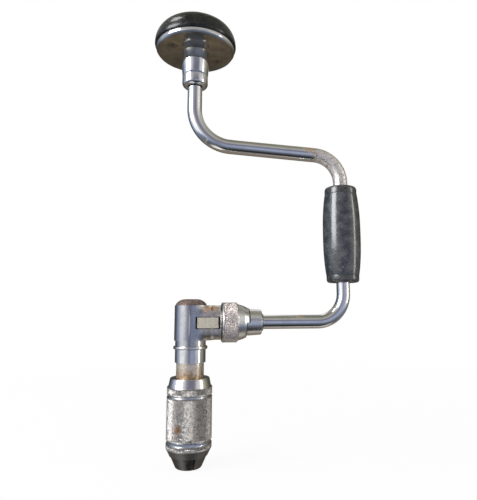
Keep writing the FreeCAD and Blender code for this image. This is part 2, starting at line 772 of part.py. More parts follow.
def side_block(name, side, end, floor):
    """A box cut in from one side of the boss, down to its floor, as high as the pawl's slot."""
    across = ("-boss_flange_radius", "-" + floor) if side == "front" else (floor, "boss_flange_radius")
    return block("%s_%s" % (name, side), ("slot_start", end), across,
                 ("slot_bottom", "slot_bottom + slot_height"))


SIDES = (("front", "-"), ("back", ""))
for side, sign in SIDES:
    body_cuts.append(side_block("slot", side, "slot_end", "slot_floor"))
    body_cuts.append(side_block("tooth_pocket", side, "tooth_pocket_end", "tooth_pocket_floor"))
    hole = cylinder("pin_hole_" + side, "pin_radius + running_clearance", "barrel_bottom", "barrel_top")
    bind(hole, Placement__Base__x="pin_place", Placement__Base__y=sign + "pin_offset")
    body_cuts.append(hole)
    pocket = doc.addObject("Part::Cylinder", "spring_pocket_" + side)
    pocket.Placement.Rotation = FreeCAD.Rotation(FreeCAD.Vector(1, 0, 0), 90 if side == "front" else -90)
    bind(pocket, Radius="spring_radius + turning_gap", Height="slot_floor - spring_seat + turning_gap")
    bind(pocket, Placement__Base__x="spring_place", Placement__Base__z="pawl_middle")
    bind(pocket, Placement__Base__y=sign + "spring_seat")
    body_cuts.append(pocket)
click_hole = cylinder("click_hole", "click_ball_radius + running_clearance",
                      "arm_height + click_spring_seat", "barrel_top")
bind(click_hole, Placement__Base__x="click_place")
body_cuts.append(click_hole)
body_cuts.append(collar_pin_hole)
finished(cut("machined_body", casting, *body_cuts), "ratchet_body")

finished(turned("cap", [
    (0, "barrel_top - cap_spigot_length"),
    ("wheel_cavity_radius - running_clearance", "barrel_top - cap_spigot_length"),
    ("wheel_cavity_radius - running_clearance", "barrel_top"),
    ("cap_radius", "barrel_top"),
    ("cap_radius", "barrel_top + cap_rim_height", "cap_crown_curve"),
    ("cap_flat_radius", "barrel_top + cap_height"),
    (0, "barrel_top + cap_height"),
]), "body_cap")

# Ratchet wheel, keyed to the chuck's spindle and held by a nut.
wheel = doc.addObject("PartDesign::Body", "wheel")
blank = wheel.newObject("PartDesign::Pad", "wheel_blank")
blank_outline = wheel.newObject("Sketcher::SketchObject", "wheel_outline")
blank_outline.AttachmentSupport = [(origin_plane(wheel, "XY_Plane"), "")]
blank_outline.MapMode = "FlatFace"
for ring, radius in enumerate(("wheel_radius", "wheel_bore_radius")):
    blank_outline.addGeometry(Part.Circle(FreeCAD.Vector(0, 0, 0), FreeCAD.Vector(0, 0, 1), number(radius)))
    blank_outline.addConstraint(Sketcher.Constraint("Coincident", ring, 3, -1, 1))
    rule = blank_outline.addConstraint(Sketcher.Constraint("Radius", ring, number(radius)))
    blank_outline.setExpression("Constraints[%d]" % rule, words_in_sheets(radius))
blank.Profile = blank_outline
bind(blank, Length="wheel_height")
doc.recompute()
gap = wheel.newObject("PartDesign::Pocket", "tooth_gap")
gap.Profile = draw(wheel, "gap_outline", "XY_Plane", [
    ("%s * cos(%s)" % (radius, turn), "%s * sin(%s)" % (radius, turn)) for radius, turn in (
        ("wheel_root_radius", "gap_direction - gap_root_half_angle"),
        ("wheel_radius", "gap_direction - gap_outer_half_angle"),
        ("(wheel_radius + gap_overcut)", "gap_direction - gap_outer_half_angle"),
        ("(wheel_radius + gap_overcut)", "gap_direction + gap_outer_half_angle"),
        ("wheel_radius", "gap_direction + gap_outer_half_angle"),
        ("wheel_root_radius", "gap_direction + gap_root_half_angle"),
    )
])
gap.Type = "ThroughAll"
gap.Reversed = True
doc.recompute()
teeth = wheel.newObject("PartDesign::PolarPattern", "teeth")
teeth.Originals = [gap]
teeth.Axis = (blank_outline, ["N_Axis"])
teeth.Angle = 360
bind(teeth, Occurrences="tooth_count")
wheel.Tip = teeth
bind(wheel, Placement__Base__z="wheel_bottom")


def key_block(name, gap_text):
    return block(name, ("key_inside_radius - " + gap_text, "key_outside_radius + " + gap_text),
                 ("-key_width / 2 - " + gap_text, "key_width / 2 + " + gap_text),
                 ("key_bottom - " + gap_text, "key_bottom + key_length + " + gap_text))


keyway = key_block("keyway", "press_clearance")
finished(cut("keyed_wheel", wheel, keyway), "ratchet_wheel")
finished(key_block("key", "0"), "wheel_key")
spindle_nut = hexagon("spindle_nut_blank", "spindle_nut_flats", "wheel_top", "spindle_nut_height")
spindle_nut_bore = cylinder("spindle_nut_bore", "spindle_top_radius", "wheel_top", "nut_top")
finished(cut("spindle_nut_bored", spindle_nut, spindle_nut_bore), "spindle_nut")

# Pawls: each rocks on an upright pin. The front one drops into the wheel, the back one is held off it.
tooth_tip = "(wheel_root_radius + tooth_tip_gap) * %s(45)"
pawl_nose = "slot_start + pawl_nose_gap"
pawl_corners = [
    (pawl_nose, "boss_half_width"),
    (pawl_nose, "slot_floor + tooth_front_rise"),
    (tooth_tip % "cos", tooth_tip % "sin"),
    ("tooth_back_place", "slot_floor + tooth_back_rise"),
    ("pawl_belly_place", "slot_floor + pawl_belly_rise"),
    ("tongue_start", "slot_floor + pawl_tail_rise"),
    ("tongue_start", "boss_half_width - pawl_tail_bevel"),
    ("tongue_start - pawl_tail_bevel", "boss_half_width"),
]
tongue_corners = [
    ("tongue_start - tongue_root", "tongue_inner_face"),
    ("tongue_end", "tongue_inner_face"),
    ("tongue_end", "tongue_bump_face"),
    ("bump_start", "tongue_bump_face"),
    ("bump_start", "tongue_outer_face"),
    ("tongue_start - tongue_root", "tongue_outer_face"),
]


def pawl(side, sign, turn):
    """The pawl as it sits in the wheel, drawn about its pin and then turned by its angle at rest."""
    def about_pin(corners):
        return [("%s - pin_place" % along, "%s(%s - pin_offset)" % (sign, out)) for along, out in corners]
    plate_part = cut_from_plate("pawl_plate_" + side, about_pin(pawl_corners), "pawl_height")
    tongue = cut_from_plate("pawl_tongue_" + side, about_pin(tongue_corners), "2 * tongue_half_height")
    bind(tongue, Placement__Base__z="pawl_height / 2 - tongue_half_height")
    bore = doc.addObject("Part::Cylinder", "pawl_bore_" + side)
    bind(bore, Radius="pin_radius + running_clearance", Height="pawl_height")
    piece = cut("pawl_bored_" + side, joined("pawl_blank_" + side, plate_part, tongue), bore)
    bind(piece, Placement__Base__x="pin_place", Placement__Base__y=sign + "pin_offset")
    bind(piece, Placement__Base__z="pawl_middle - pawl_height / 2", Placement__Rotation__Angle=turn)
    return piece


finished(pawl("front", "-", "0"), "pawl_front")
finished(pawl("back", "", "-pawl_swing"), "pawl_back")
for side, sign in SIDES:
    pin = cylinder("pin_" + side, "pin_radius",
                   "arm_height - pin_half_length", "arm_height + pin_half_length")
    bind(pin, Placement__Base__x="pin_place", Placement__Base__y=sign + "pin_offset")
    finished(pin, "pawl_pin_" + side)
    spring = coil("pawl_coil_" + side, "spring_radius", "spring_wire_radius",
                  "spring_seat", "spring_head", "spring_turns")
    outward = FreeCAD.Rotation(FreeCAD.Vector(1, 0, 0), 90 if side == "front" else -90)
    seat = FreeCAD.Vector(number("spring_place"), number(sign + "(spring_seat + spring_wire_radius)"),
                          number("pawl_middle"))
    spring.Placement = FreeCAD.Placement(seat, outward)
    finished(spring, "pawl_spring_" + side)

# Selector ring: its off-centre bore lifts one pawl or the other, or neither, as it turns on the stem.
ring_profile = turned("ring_profile", [
    ("skirt_bore_radius", "ring_shoulder"),
    ("ring_bore_radius", "ring_shoulder"),
    ("ring_bore_radius", "click_groove_end"),
    ("click_groove_radius", "click_groove_end"),
    ("click_groove_radius", "click_groove_start"),
    ("ring_bore_radius", "click_groove_start"),
    ("ring_bore_radius", "ring_start"),
    ("ring_radius - ring_bevel", "ring_start"),
    ("ring_radius", "ring_start + ring_bevel"),
    ("ring_radius", "ring_end - ring_bevel"),
    ("ring_radius - ring_bevel", "ring_end"),
    ("skirt_radius", "ring_end"),
    ("skirt_end_radius", "skirt_taper_end"),
    ("skirt_end_radius", "skirt_end"),
    ("skirt_bore_radius", "skirt_end"),
])
ring_profile.Placement.Rotation = FreeCAD.Rotation(FreeCAD.Vector(0, 1, 0), 90)
bind(ring_profile, Placement__Base__z="arm_height")
cam_bore = arm_cylinder("cam_bore", "cam_radius", "ring_start", "slot_end")
bind(cam_bore, Placement__Base__y="-cam_offset * cos(cam_angle)")
bind(cam_bore, Placement__Base__z="arm_height + cam_offset * sin(cam_angle)")
skirt_step = block("skirt_step",
                   ("skirt_end - skirt_step_depth", "skirt_end"), ("-ring_radius", "ring_radius"),
                   ("arm_height - ring_radius", "arm_height"))
finished(cut("selector", ring_profile, cam_bore, skirt_step), "selector_ring")

click_ball = doc.addObject("Part::Sphere", "click_ball")
bind(click_ball, Radius="click_ball_radius", Placement__Base__x="click_place")
bind(click_ball, Placement__Base__z="arm_height + click_ball_height")
finished(click_ball, "detent_ball")
click_spring = coil("click_coil", "click_spring_radius", "spring_wire_radius", "click_spring_seat",
                    "click_ball_height - click_ball_radius", "click_spring_turns")
click_spring.Placement.Base = FreeCAD.Vector(
    number("click_place"), 0, number("arm_height + click_spring_seat + spring_wire_radius"))
finished(click_spring, "detent_spring")

# Rear collar, pinned through stem and rod. Its lug reaches into the skirt's step and stops the selector.
collar_profile = turned("collar_profile", [
    ("stem_radius + press_clearance", "rear_collar_start"),
    ("rear_collar_front_radius", "rear_collar_start"),
    ("rear_collar_back_radius", "rear_collar_end - rear_collar_bevel"),
    ("rear_collar_back_radius - rear_collar_bevel", "rear_collar_end"),
    ("stem_radius + press_clearance", "rear_collar_end"),
])
collar_profile.Placement.Rotation = FreeCAD.Rotation(FreeCAD.Vector(0, 1, 0), 90)
bind(collar_profile, Placement__Base__z="arm_height")
lug_ring = cut("lug_ring",
               arm_cylinder("lug_outside", "rear_collar_front_radius", "rear_collar_start - stop_lug_depth",
                            "rear_collar_start"),
               arm_cylinder("lug_inside", "skirt_bore_radius", "rear_collar_start - stop_lug_depth",
                            "rear_collar_start"))
beyond_lug = doc.addObject("Part::Cylinder", "beyond_lug")
bind(beyond_lug, Radius="boss_radius", Height="stop_lug_depth", Angle="360 - collar_stop_angle")
bind(beyond_lug, Placement__Base__x="rear_collar_start - stop_lug_depth", Placement__Base__z="arm_height")
towards_front, downwards, outwards = (FreeCAD.Vector(*way) for way in ((0, -1, 0), (0, 0, -1), (1, 0, 0)))
from_front = FreeCAD.Rotation(towards_front, downwards, outwards, "ZXY")
past_lug = FreeCAD.Rotation(FreeCAD.Vector(1, 0, 0), number("collar_stop_angle"))
beyond_lug.Placement.Rotation = past_lug * from_front
stop_lug = cut("stop_lug", lug_ring, beyond_lug)
collar_blank = joined("collar_blank", collar_profile, stop_lug)
finished(cut("stop_collar", collar_blank, collar_pin_hole), "rear_collar")
collar_pin = cylinder("collar_pin", "collar_pin_radius", "arm_height - collar_pin_half_length",
                      "arm_height + collar_pin_half_length")
bind(collar_pin, Placement__Base__x="collar_pin_place")
finished(collar_pin, "rear_collar_pin")

# Chuck: a spindle with a split end, a washer, the two jaws in the split and the shell that closes them.
spindle_blank = turned("spindle_blank", [
    (0, "spindle_bottom"),
    ("thread_radius", "spindle_bottom"),
    ("thread_radius", "spindle_neck_bottom"),
    ("spindle_neck_radius", "spindle_neck_bottom"),
    ("spindle_neck_radius", "band_bottom"),
    ("collar_band_radius", "band_bottom"),
    ("collar_band_radius", "band_top"),
    ("journal_radius", "band_top"),
    ("journal_radius", "wheel_bottom"),
    ("spindle_top_radius", "wheel_bottom"),
    ("spindle_top_radius", "spindle_top"),
    (0, "spindle_top"),
])
straight_slot = block("straight_slot", ("-shell_radius", "shell_radius"),
                      ("-jaw_slot_width / 2", "jaw_slot_width / 2"), ("spindle_bottom", "jaw_slot_top"))
jaw_slot = turn_with_chuck(group("jaw_slot", [straight_slot]))
finished(cut("split_spindle", spindle_blank, jaw_slot, keyway), "chuck_spindle")

finished(turned("bead", [
    ("journal_radius + turning_gap", "washer_bottom"),
    ("washer_radius - washer_rounding", "washer_bottom", "washer_rounding"),
    ("washer_radius", "washer_bottom + washer_rounding"),
    ("washer_radius", "washer_top - washer_rounding", "washer_rounding"),
    ("washer_radius - washer_rounding", "washer_top"),
    ("journal_radius + turning_gap", "washer_top"),
]), "spindle_washer")

finished(turned("shell", [
    ("shell_mouth_inner", "shell_mouth_bottom"),
    ("shell_mouth_radius", "shell_mouth_bottom"),
    ("shell_radius", "lower_band_bottom"),
    ("shell_radius", "lower_groove_bottom"),
    ("shell_groove_radius", "lower_groove_bottom + groove_bevel"),
    ("shell_groove_radius", "body_knurl_bottom - groove_bevel"),
    ("shell_radius", "body_knurl_bottom"),
    ("shell_radius", "upper_groove_bottom"),
    ("shell_groove_radius", "upper_groove_bottom + groove_bevel"),
    ("shell_groove_radius", "upper_band_bottom - groove_bevel"),
    ("shell_radius", "upper_band_bottom"),
    ("shell_radius", "shell_shoulder"),
    ("shell_shoulder_radius", "shell_shoulder"),
    ("shell_top_radius", "shell_top"),
    ("thread_radius + running_clearance", "shell_top"),
    ("thread_radius + running_clearance", "shell_thread_bottom"),
    ("shell_cavity_radius", "shell_thread_bottom"),
    ("shell_cavity_radius", "ring_wire_height + wire_room"),
    ("shell_cavity_radius + wire_room", "ring_wire_height + wire_room"),
    ("shell_cavity_radius + wire_room", "ring_wire_height - wire_room"),
    ("shell_cavity_radius", "ring_wire_height - wire_room"),
    ("shell_cavity_radius", "shell_cone_top"),
]), "chuck_shell")

wire_ring = doc.addObject("Part::Torus", "wire_ring")
bind(wire_ring, Radius1="shell_cavity_radius", Radius2="ring_wire_radius")
bind(wire_ring, Placement__Base__z="ring_wire_height")
finished(wire_ring, "jaw_retaining_ring")


def jaw(side, inner, outer):
    """One jaw: half of a turned nose, with a flat tail in the spindle's split."""
    nose = turned("jaw_nose_" + side, [
        (0, 0),
        ("jaw_nose_foot", 0, "jaw_nose_rounding"),
        ("jaw_nose_foot + jaw_nose_rounding / jaw_slant", "jaw_nose_corner"),
        ("jaw_cone_radius", "jaw_cone_height"),
        ("jaw_body_radius", "jaw_cone_height + jaw_cone_radius - jaw_body_radius"),
        ("jaw_body_radius", "jaw_body_top"),
        (0, "jaw_body_top"),
    ])
    tail = block("jaw_tail_" + side, ("-jaw_tail_reach", "jaw_tail_reach"),
                 ("-jaw_tail_width / 2", "jaw_tail_width / 2"), ("jaw_cone_height", "jaw_tail_top"))
    half = block("jaw_half_" + side, (inner, outer),
                 ("-shell_radius", "shell_radius"), ("0", "jaw_tail_top"))
    bit_hole = cylinder("bit_hole_" + side, "bit_radius", "0", "jaw_body_top")
    pocket = doc.addObject("Part::Cylinder", "jaw_pocket_" + side)
    pocket.Placement.Rotation = FreeCAD.Rotation(FreeCAD.Vector(0, 1, 0), 90)
    bind(pocket, Radius="jaw_spring_radius + turning_gap")
    bind(pocket, Height="2 * (jaw_spring_half_length + turning_gap)")
    bind(pocket, Placement__Base__x="-jaw_spring_half_length - turning_gap")
    bind(pocket, Placement__Base__z="jaw_spring_height")
    blank = shared("jaw_blank_" + side, joined("jaw_whole_" + side, nose, tail), half)
    return turn_with_chuck(cut("jaw_cut_" + side, blank, bit_hole, pocket))


finished(jaw("a", "jaw_split / 2", "shell_radius"), "jaw_a")
finished(jaw("b", "-shell_radius", "-jaw_split / 2"), "jaw_b")
jaw_coil = coil("jaw_coil", "jaw_spring_radius", "spring_wire_radius", "-jaw_spring_half_length",
                "jaw_spring_half_length", "jaw_spring_turns")
chuck_rotation = FreeCAD.Rotation(FreeCAD.Vector(0, 0, 1), number("chuck_turn"))
along_jaws = chuck_rotation * FreeCAD.Rotation(FreeCAD.Vector(0, 1, 0), 90)
jaw_coil_end = FreeCAD.Vector(0, 0, number("spring_wire_radius - jaw_spring_half_length"))
jaw_coil_start = along_jaws.multVec(jaw_coil_end)
jaw_coil_start.z = number("jaw_spring_height")
jaw_coil.Placement = FreeCAD.Placement(jaw_coil_start, along_jaws)
finished(jaw_coil, "jaw_spring")

doc.recompute()
faults = []
for item in doc.Objects:
    if "Invalid" in item.State or "Error" in item.State:
        faults.append("%s: %s" % (item.Label, item.State))
for piece in sub_parts:
    if piece.Shape.isNull() or not piece.Shape.isValid():
        faults.append(piece.Label + ": no valid shape")
if faults:
    raise SystemExit("faults: " + "; ".join(faults))

os.makedirs("parts", exist_ok=True)
for piece in sub_parts:
    piece.Shape.exportStep(os.path.join("parts", piece.Label + ".step"))
    box = piece.Shape.BoundBox
    print("%-22s %d solid(s) %10.1f mm3  z %.1f to %.1f" % (
        piece.Label, len(piece.Shape.Solids), piece.Shape.Volume, box.ZMin, box.ZMax))
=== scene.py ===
import math

import bmesh
import bpy
from mathutils import Matrix, Vector, noise


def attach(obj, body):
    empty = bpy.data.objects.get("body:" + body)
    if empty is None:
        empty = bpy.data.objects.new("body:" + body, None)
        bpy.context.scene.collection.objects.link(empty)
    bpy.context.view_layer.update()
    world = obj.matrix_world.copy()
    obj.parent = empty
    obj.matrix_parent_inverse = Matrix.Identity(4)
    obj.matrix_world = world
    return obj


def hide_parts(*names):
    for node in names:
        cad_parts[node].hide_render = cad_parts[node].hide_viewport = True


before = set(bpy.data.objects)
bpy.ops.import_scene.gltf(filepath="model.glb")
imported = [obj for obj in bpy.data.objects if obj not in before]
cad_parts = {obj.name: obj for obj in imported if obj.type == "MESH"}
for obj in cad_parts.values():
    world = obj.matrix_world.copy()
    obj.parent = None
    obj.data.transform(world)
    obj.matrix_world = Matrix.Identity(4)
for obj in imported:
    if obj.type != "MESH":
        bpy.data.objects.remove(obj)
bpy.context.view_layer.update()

# The crank is one bar of bright steel, bent cold in four places and chrome plated after bending.
# Its top end is turned down for the head, its bottom end sits in the stem of the ratchet body.
# The plate has gone milky and spotted with rust on the bend above the grip, where hands hold it.
MM = 0.001
THROW = 127.0 * MM
ARM_HEIGHT = 108.2 * MM
UPPER_ARM_HEIGHT = 256.9 * MM
UPPER_ARM_SLOPE = math.radians(3.02)
UPPER_ROD = 6.2 * MM
LOWER_ROD = 5.6 * MM
HEAD_BEND = 32.0 * MM
GRIP_BEND = 24.0 * MM
LOWER_BEND = 23.0 * MM
ROD_TOP = 308.3 * MM
ROD_END = 40.0 * MM
INSIDE_GRIP = 176.0 * MM
HEAD_SPINDLE = 5.0 * MM
SPINDLE_TOP = 345.9 * MM
SHOULDER = 0.4 * MM
ROUND_STEPS = 48
BEND_STEPS = 20


def placed(name, data):
    """Put a mesh, lamp or camera in the scene."""
    thing = bpy.data.objects.new(name, data)
    bpy.context.scene.collection.objects.link(thing)
    return thing


def new_piece(name, mesh, body, slot, *nodes):
    """Put a finished mesh in the scene, riding on its body, in the place of the frame's nodes."""
    piece = placed(name, mesh)
    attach(piece, body)
    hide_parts(*nodes)
    return piece


def mesh_of(bm, name):
    mesh = bpy.data.meshes.new(name)
    bm.to_mesh(mesh)
    bm.free()
    return mesh


def smooth_except_corners(mesh, degrees=35.0, flat=()):
    """Shade a mesh smoothly but for its corners, and leave the faces of a flat material row crisp."""
    for polygon in mesh.polygons:
        polygon.use_smooth = polygon.material_index not in flat
    mesh.set_sharp_from_angle(angle=math.radians(degrees))
    return mesh


def bend_points(centre, radius, start, end):
    """Points along a bend in the crank's plane, from one angle to the other."""
    angles = [start + (end - start) * i / BEND_STEPS for i in range(BEND_STEPS + 1)]
    return [Vector((centre.x + radius * math.cos(a), 0, centre.z + radius * math.sin(a))) for a in angles]


def crank_line():
    """The middle of the crank's bar, from the head's spindle down to the ratchet body."""
    share = math.tan((math.pi / 2 - UPPER_ARM_SLOPE) / 2)
    arm = Vector((math.cos(UPPER_ARM_SLOPE), 0, -math.sin(UPPER_ARM_SLOPE)))
    root = Vector((0, 0, UPPER_ARM_HEIGHT))
    corner = Vector((THROW, 0, UPPER_ARM_HEIGHT - THROW * math.tan(UPPER_ARM_SLOPE)))
    head_centre = Vector((HEAD_BEND, 0, root.z + HEAD_BEND * share))
    grip_centre = Vector((THROW - GRIP_BEND, 0, corner.z - GRIP_BEND * share))
    lower_centre = Vector((THROW - LOWER_BEND, 0, ARM_HEIGHT + LOWER_BEND))
    across = math.pi / 2 - UPPER_ARM_SLOPE
    upper = [Vector((0, 0, ROD_TOP))]
    upper += [Vector((0, 0, head_centre.z + (ROD_TOP - head_centre.z) * t)) for t in (0.6, 0.3)]
    upper += bend_points(head_centre, HEAD_BEND, math.pi, math.pi + across)
    upper += [root + arm * (THROW / 2)]
    upper += bend_points(grip_centre, GRIP_BEND, across, 0)
    upper += [Vector((THROW, 0, INSIDE_GRIP))]
    lower = [Vector((THROW, 0, INSIDE_GRIP - 6 * MM))]
    lower += bend_points(lower_centre, LOWER_BEND, 0, -math.pi / 2)
    lower += [Vector(((THROW - LOWER_BEND + ROD_END) / 2, 0, ARM_HEIGHT)), Vector((ROD_END, 0, ARM_HEIGHT))]
    return upper, lower


def bar_along(points, radii):
    """A round bar through points in the crank's plane, with a radius for each."""
    bm = bmesh.new()
    rings = []
    for i, point in enumerate(points):
        ahead = points[min(i + 1, len(points) - 1)] - points[max(i - 1, 0)]
        ahead.normalize()
        side = Vector((0, 1, 0)).cross(ahead).normalized()
        angles = [2 * math.pi * k / ROUND_STEPS for k in range(ROUND_STEPS)]
        spokes = [side * math.cos(a) + Vector((0, 1, 0)) * math.sin(a) for a in angles]
        rings.append([bm.verts.new(point + spoke * radii[i]) for spoke in spokes])
    for first, second in zip(rings, rings[1:]):
        for k in range(ROUND_STEPS):
            after = (k + 1) % ROUND_STEPS
            bm.faces.new((first[k], first[after], second[after], second[k]))
    bm.faces.new(rings[0][::-1])
    bm.faces.new(rings[-1])
    bmesh.ops.recalc_face_normals(bm, faces=bm.faces)
    return smooth_except_corners(mesh_of(bm, "bar"))


class Nodes:
    """The nodes of a material or of the world, laid one after another."""

    def __init__(self, owner):
        owner.use_nodes = True
        self.nodes = owner.node_tree.nodes
        self.links = owner.node_tree.links

    def add(self, kind, links=(), **settings):
        node = self.nodes.new(kind)
        for key, value in settings.items():
            setattr(node, key, value)
        for socket, source in links:
            self.put(node.inputs[socket], source)
        return node

    def put(self, socket, source):
        """Feed a socket from another, or with a number or a colour."""
        if hasattr(source, "is_output"):
            self.links.new(source, socket)
        else:
            socket.default_value = (*source, 1) if socket.type == "RGBA" else source

    def span(self, source, low, high, start=0.0, end=1.0):
        """Spread the part of a value between low and high over start to end."""
        links = [(0, source), (1, low), (2, high), (3, start), (4, end)]
        return self.add("ShaderNodeMapRange", links).outputs[0]

    def mathed(self, how, first, second=0.0):
        return self.add("ShaderNodeMath", [(0, first), (1, second)], operation=how).outputs[0]

    def plus(self, first, second):
        return self.mathed("ADD", first, second)

    def times(self, first, second):
        return self.mathed("MULTIPLY", first, second)

    def most(self, first, second):
        return self.mathed("MAXIMUM", first, second)


class Finish(Nodes):
    """A material for one piece or a group of like pieces."""

    def __init__(self, name, **shader):
        self.material = bpy.data.materials.new(name)
        super().__init__(self.material)
        self.shader = self.nodes["Principled BSDF"]
        for socket, value in shader.items():
            self.shader.inputs[socket.replace("_", " ")].default_value = value
        self.place = self.add("ShaderNodeTexCoord").outputs["Object"]

    def grain(self, size, detail=4.0, rough=0.6, stretch=(1, 1, 1)):
        """Cloudy noise with clouds of about this many millimetres."""
        place = self.add("ShaderNodeMapping", [("Vector", self.place), ("Scale", stretch)]).outputs[0]
        links = [("Vector", place), ("Scale", 1 / MM / size), ("Detail", detail), ("Roughness", rough)]
        return self.add("ShaderNodeTexNoise", links).outputs["Fac"]

    def mixed(self, share, first, second):
        """The first colour where share is nothing, and the second where it is one."""
        return self.add("ShaderNodeMix", [(0, share), (6, first), (7, second)], data_type="RGBA").outputs[2]

    def mixed_value(self, share, first, second):
        return self.add("ShaderNodeMix", [(0, share), (2, first), (3, second)]).outputs[0]

    def near(self, spot, reach):
        """One at a spot given in millimetres, falling to nothing at its reach."""
        point = tuple(value * MM for value in spot)
        gap = self.add("ShaderNodeVectorMath", [(0, self.place), (1, point)], operation="DISTANCE")
        return self.span(gap.outputs["Value"], 0.0, reach * MM, 1.0, 0.0)

    def near_any(self, spots):
        """The same about several spots, given as ((x, y, z), reach)."""
        share = 0.0
        for spot, reach in spots:
            share = self.most(share, self.near(spot, reach))
        return share

    def along(self, axis):
        """The place along X, Y or Z, in metres."""
        parts = self.add("ShaderNodeSeparateXYZ", [("Vector", self.place)])
        return parts.outputs["XYZ".index(axis)]

    def bumps(self, height, depth):
        """Raise the surface by up to depth millimetres where height is one."""
        node = self.add("ShaderNodeBump", [("Height", height), ("Distance", depth * MM), ("Strength", 1.0)])
        before = self.shader.inputs["Normal"]
        if before.is_linked:
            self.links.new(before.links[0].from_socket, node.inputs["Normal"])
        self.links.new(node.outputs[0], before)

    def so_far(self, socket):
        """What feeds a socket of the shader by now."""
        return self.shader.inputs[socket].links[0].from_socket

    def colour(self, source):
        self.put(self.shader.inputs["Base Color"], source)

    def rough(self, source):
        self.put(self.shader.inputs["Roughness"], source)

    def metal(self, source):
        self.put(self.shader.inputs["Metallic"], source)

    def dulled(self, share, rough):
        """Raise the roughness to a value where share is one."""
        self.rough(self.most(self.so_far("Roughness"), self.times(share, rough)))

    def on(self, piece):
        """Give the piece this finish all over, in each of its rows of faces."""
        rows = 1 + max((polygon.material_index for polygon in piece.data.polygons), default=0)
        piece.data.materials.clear()
        for row in range(rows):
            piece.data.materials.append(self.material)


def darker(colour, share):
    return tuple(value * share for value in colour)


def chrome(name, tint=(0.87, 0.87, 0.88), low=0.05, high=0.17):
    """Old chrome plate: it mirrors, with a faint haze, fine wiping scratches and slight waves."""
    finish = Finish(name, Metallic=1.0)
    haze = finish.grain(9.0, detail=6.0)
    spots = finish.grain(1.6, detail=3.0)
    finish.colour(finish.mixed(finish.span(haze, 0.45, 0.75), tint, darker(tint, 0.84)))
    cloudy = finish.plus(haze, finish.times(spots, 0.4))
    finish.rough(finish.span(cloudy, 0.45, 1.0, low, high))
    finish.bumps(finish.grain(14.0, detail=1.0), 0.09)
    finish.bumps(finish.grain(0.7, detail=3.0), 0.003)
    return finish


MILKY_SPOTS = [((117.0, -3.0, 248.0), 21.0), ((127.0, -4.0, 234.0), 20.0)]
RUSTY_SPOTS = [((98.0, -4.0, 255.0), 9.0), ((103.0, -5.0, 251.0), 5.0), ((9.0, -5.5, 256.5), 5.0),
               ((28.0, -5.5, 249.0), 4.0), ((88.0, -3.0, 113.0), 5.0)]


def crank_plate():
    """The crank's chrome, gone milky and pitted above the grip, with rust along the top of its arms."""
    finish = chrome("crank_chrome", tint=(0.93, 0.93, 0.935), low=0.07, high=0.20)
    milky = finish.times(finish.times(finish.near_any(MILKY_SPOTS), 3.6), finish.grain(3.0, detail=5.0))
    milky = finish.span(milky, 0.35, 0.8)
    cloud = finish.span(finish.grain(2.0, detail=4.0), 0.4, 0.65)
    pale = finish.mixed(cloud, (0.84, 0.81, 0.78), (0.60, 0.54, 0.49))
    coated = finish.mixed(milky, finish.so_far("Base Color"), pale)
    pits = finish.span(finish.grain(1.3, detail=4.0), 0.57, 0.62)
    pits = finish.times(pits, finish.span(milky, 0.02, 0.4))
    patchy = finish.span(finish.grain(1.5, detail=5.0), 0.35, 0.6)
    bloom = finish.span(finish.times(finish.near_any(RUSTY_SPOTS), patchy), 0.25, 0.55)
    pitted = finish.mixed(pits, coated, (0.20, 0.12, 0.08))
    finish.colour(finish.mixed(bloom, pitted, (0.40, 0.24, 0.10)))
    finish.dulled(milky, 0.42)
    finish.dulled(bloom, 0.6)
    bare = finish.most(finish.times(milky, 0.4), finish.most(pits, bloom))
    finish.metal(finish.span(bare, 0.0, 1.0, 1.0, 0.35))
    finish.bumps(finish.times(pits, -1.0), 0.06)
    return finish


upper_line, lower_line = crank_line()
line = [Vector((0, 0, SPINDLE_TOP)), Vector((0, 0, ROD_TOP + SHOULDER))] + upper_line + lower_line
radii = [HEAD_SPINDLE] * 2 + [UPPER_ROD] * len(upper_line) + [LOWER_ROD] * len(lower_line)
crank = new_piece("crank_bar", bar_along(line, radii), "crank_frame", "bright_chrome", "crank_rod")
crank_plate().on(crank)


# The head turns on balls. Its cup is pressed on the crank, and the neck and plate are turned from one
# piece of steel. All three are chrome plated, and the plate's underside is coloured a darker brown.
LATHE_STEPS = 144
EASING_STEPS = 5


def eased(outline):
    """Give each corner (radius, height, rounding) of an outline in millimetres its rounding."""
    points = []
    count = len(outline)
    for i, corner in enumerate(outline):
        here = Vector(corner[:2])
        rounding = corner[2] if len(corner) > 2 else 0
        if rounding == 0:
            points.append(here)
            continue
        before = Vector(outline[i - 1][:2]) - here
        after = Vector(outline[(i + 1) % count][:2]) - here
        half = before.angle(after) / 2
        reach = min(rounding / math.tan(half), before.length * 0.49, after.length * 0.49)
        start = here + before.normalized() * reach
        end = here + after.normalized() * reach
        for k in range(EASING_STEPS + 1):
            t = k / EASING_STEPS
            points.append(start.lerp(here, t).lerp(here.lerp(end, t), t))
    return points


def arc(centre, radius, start, end, steps=16):
    """Points on an arc, in millimetres, between two angles in degrees."""
    angles = [math.radians(start + (end - start) * i / steps) for i in range(steps + 1)]
    return [(centre[0] + radius * math.cos(a), centre[1] + radius * math.sin(a)) for a in angles]


def welded(bm, name):
    """The mesh with doubled points joined, points of no size taken out and its faces turned outwards."""
    bmesh.ops.remove_doubles(bm, verts=bm.verts, dist=1e-7)
    bmesh.ops.dissolve_degenerate(bm, edges=bm.edges, dist=1e-7)
    bmesh.ops.recalc_face_normals(bm, faces=bm.faces)
    return mesh_of(bm, name)


def on_lathe(bm, radius, angle, height):
    """A new point, with its radius and height in millimetres."""
    return bm.verts.new((radius * MM * math.cos(angle), radius * MM * math.sin(angle), height * MM))


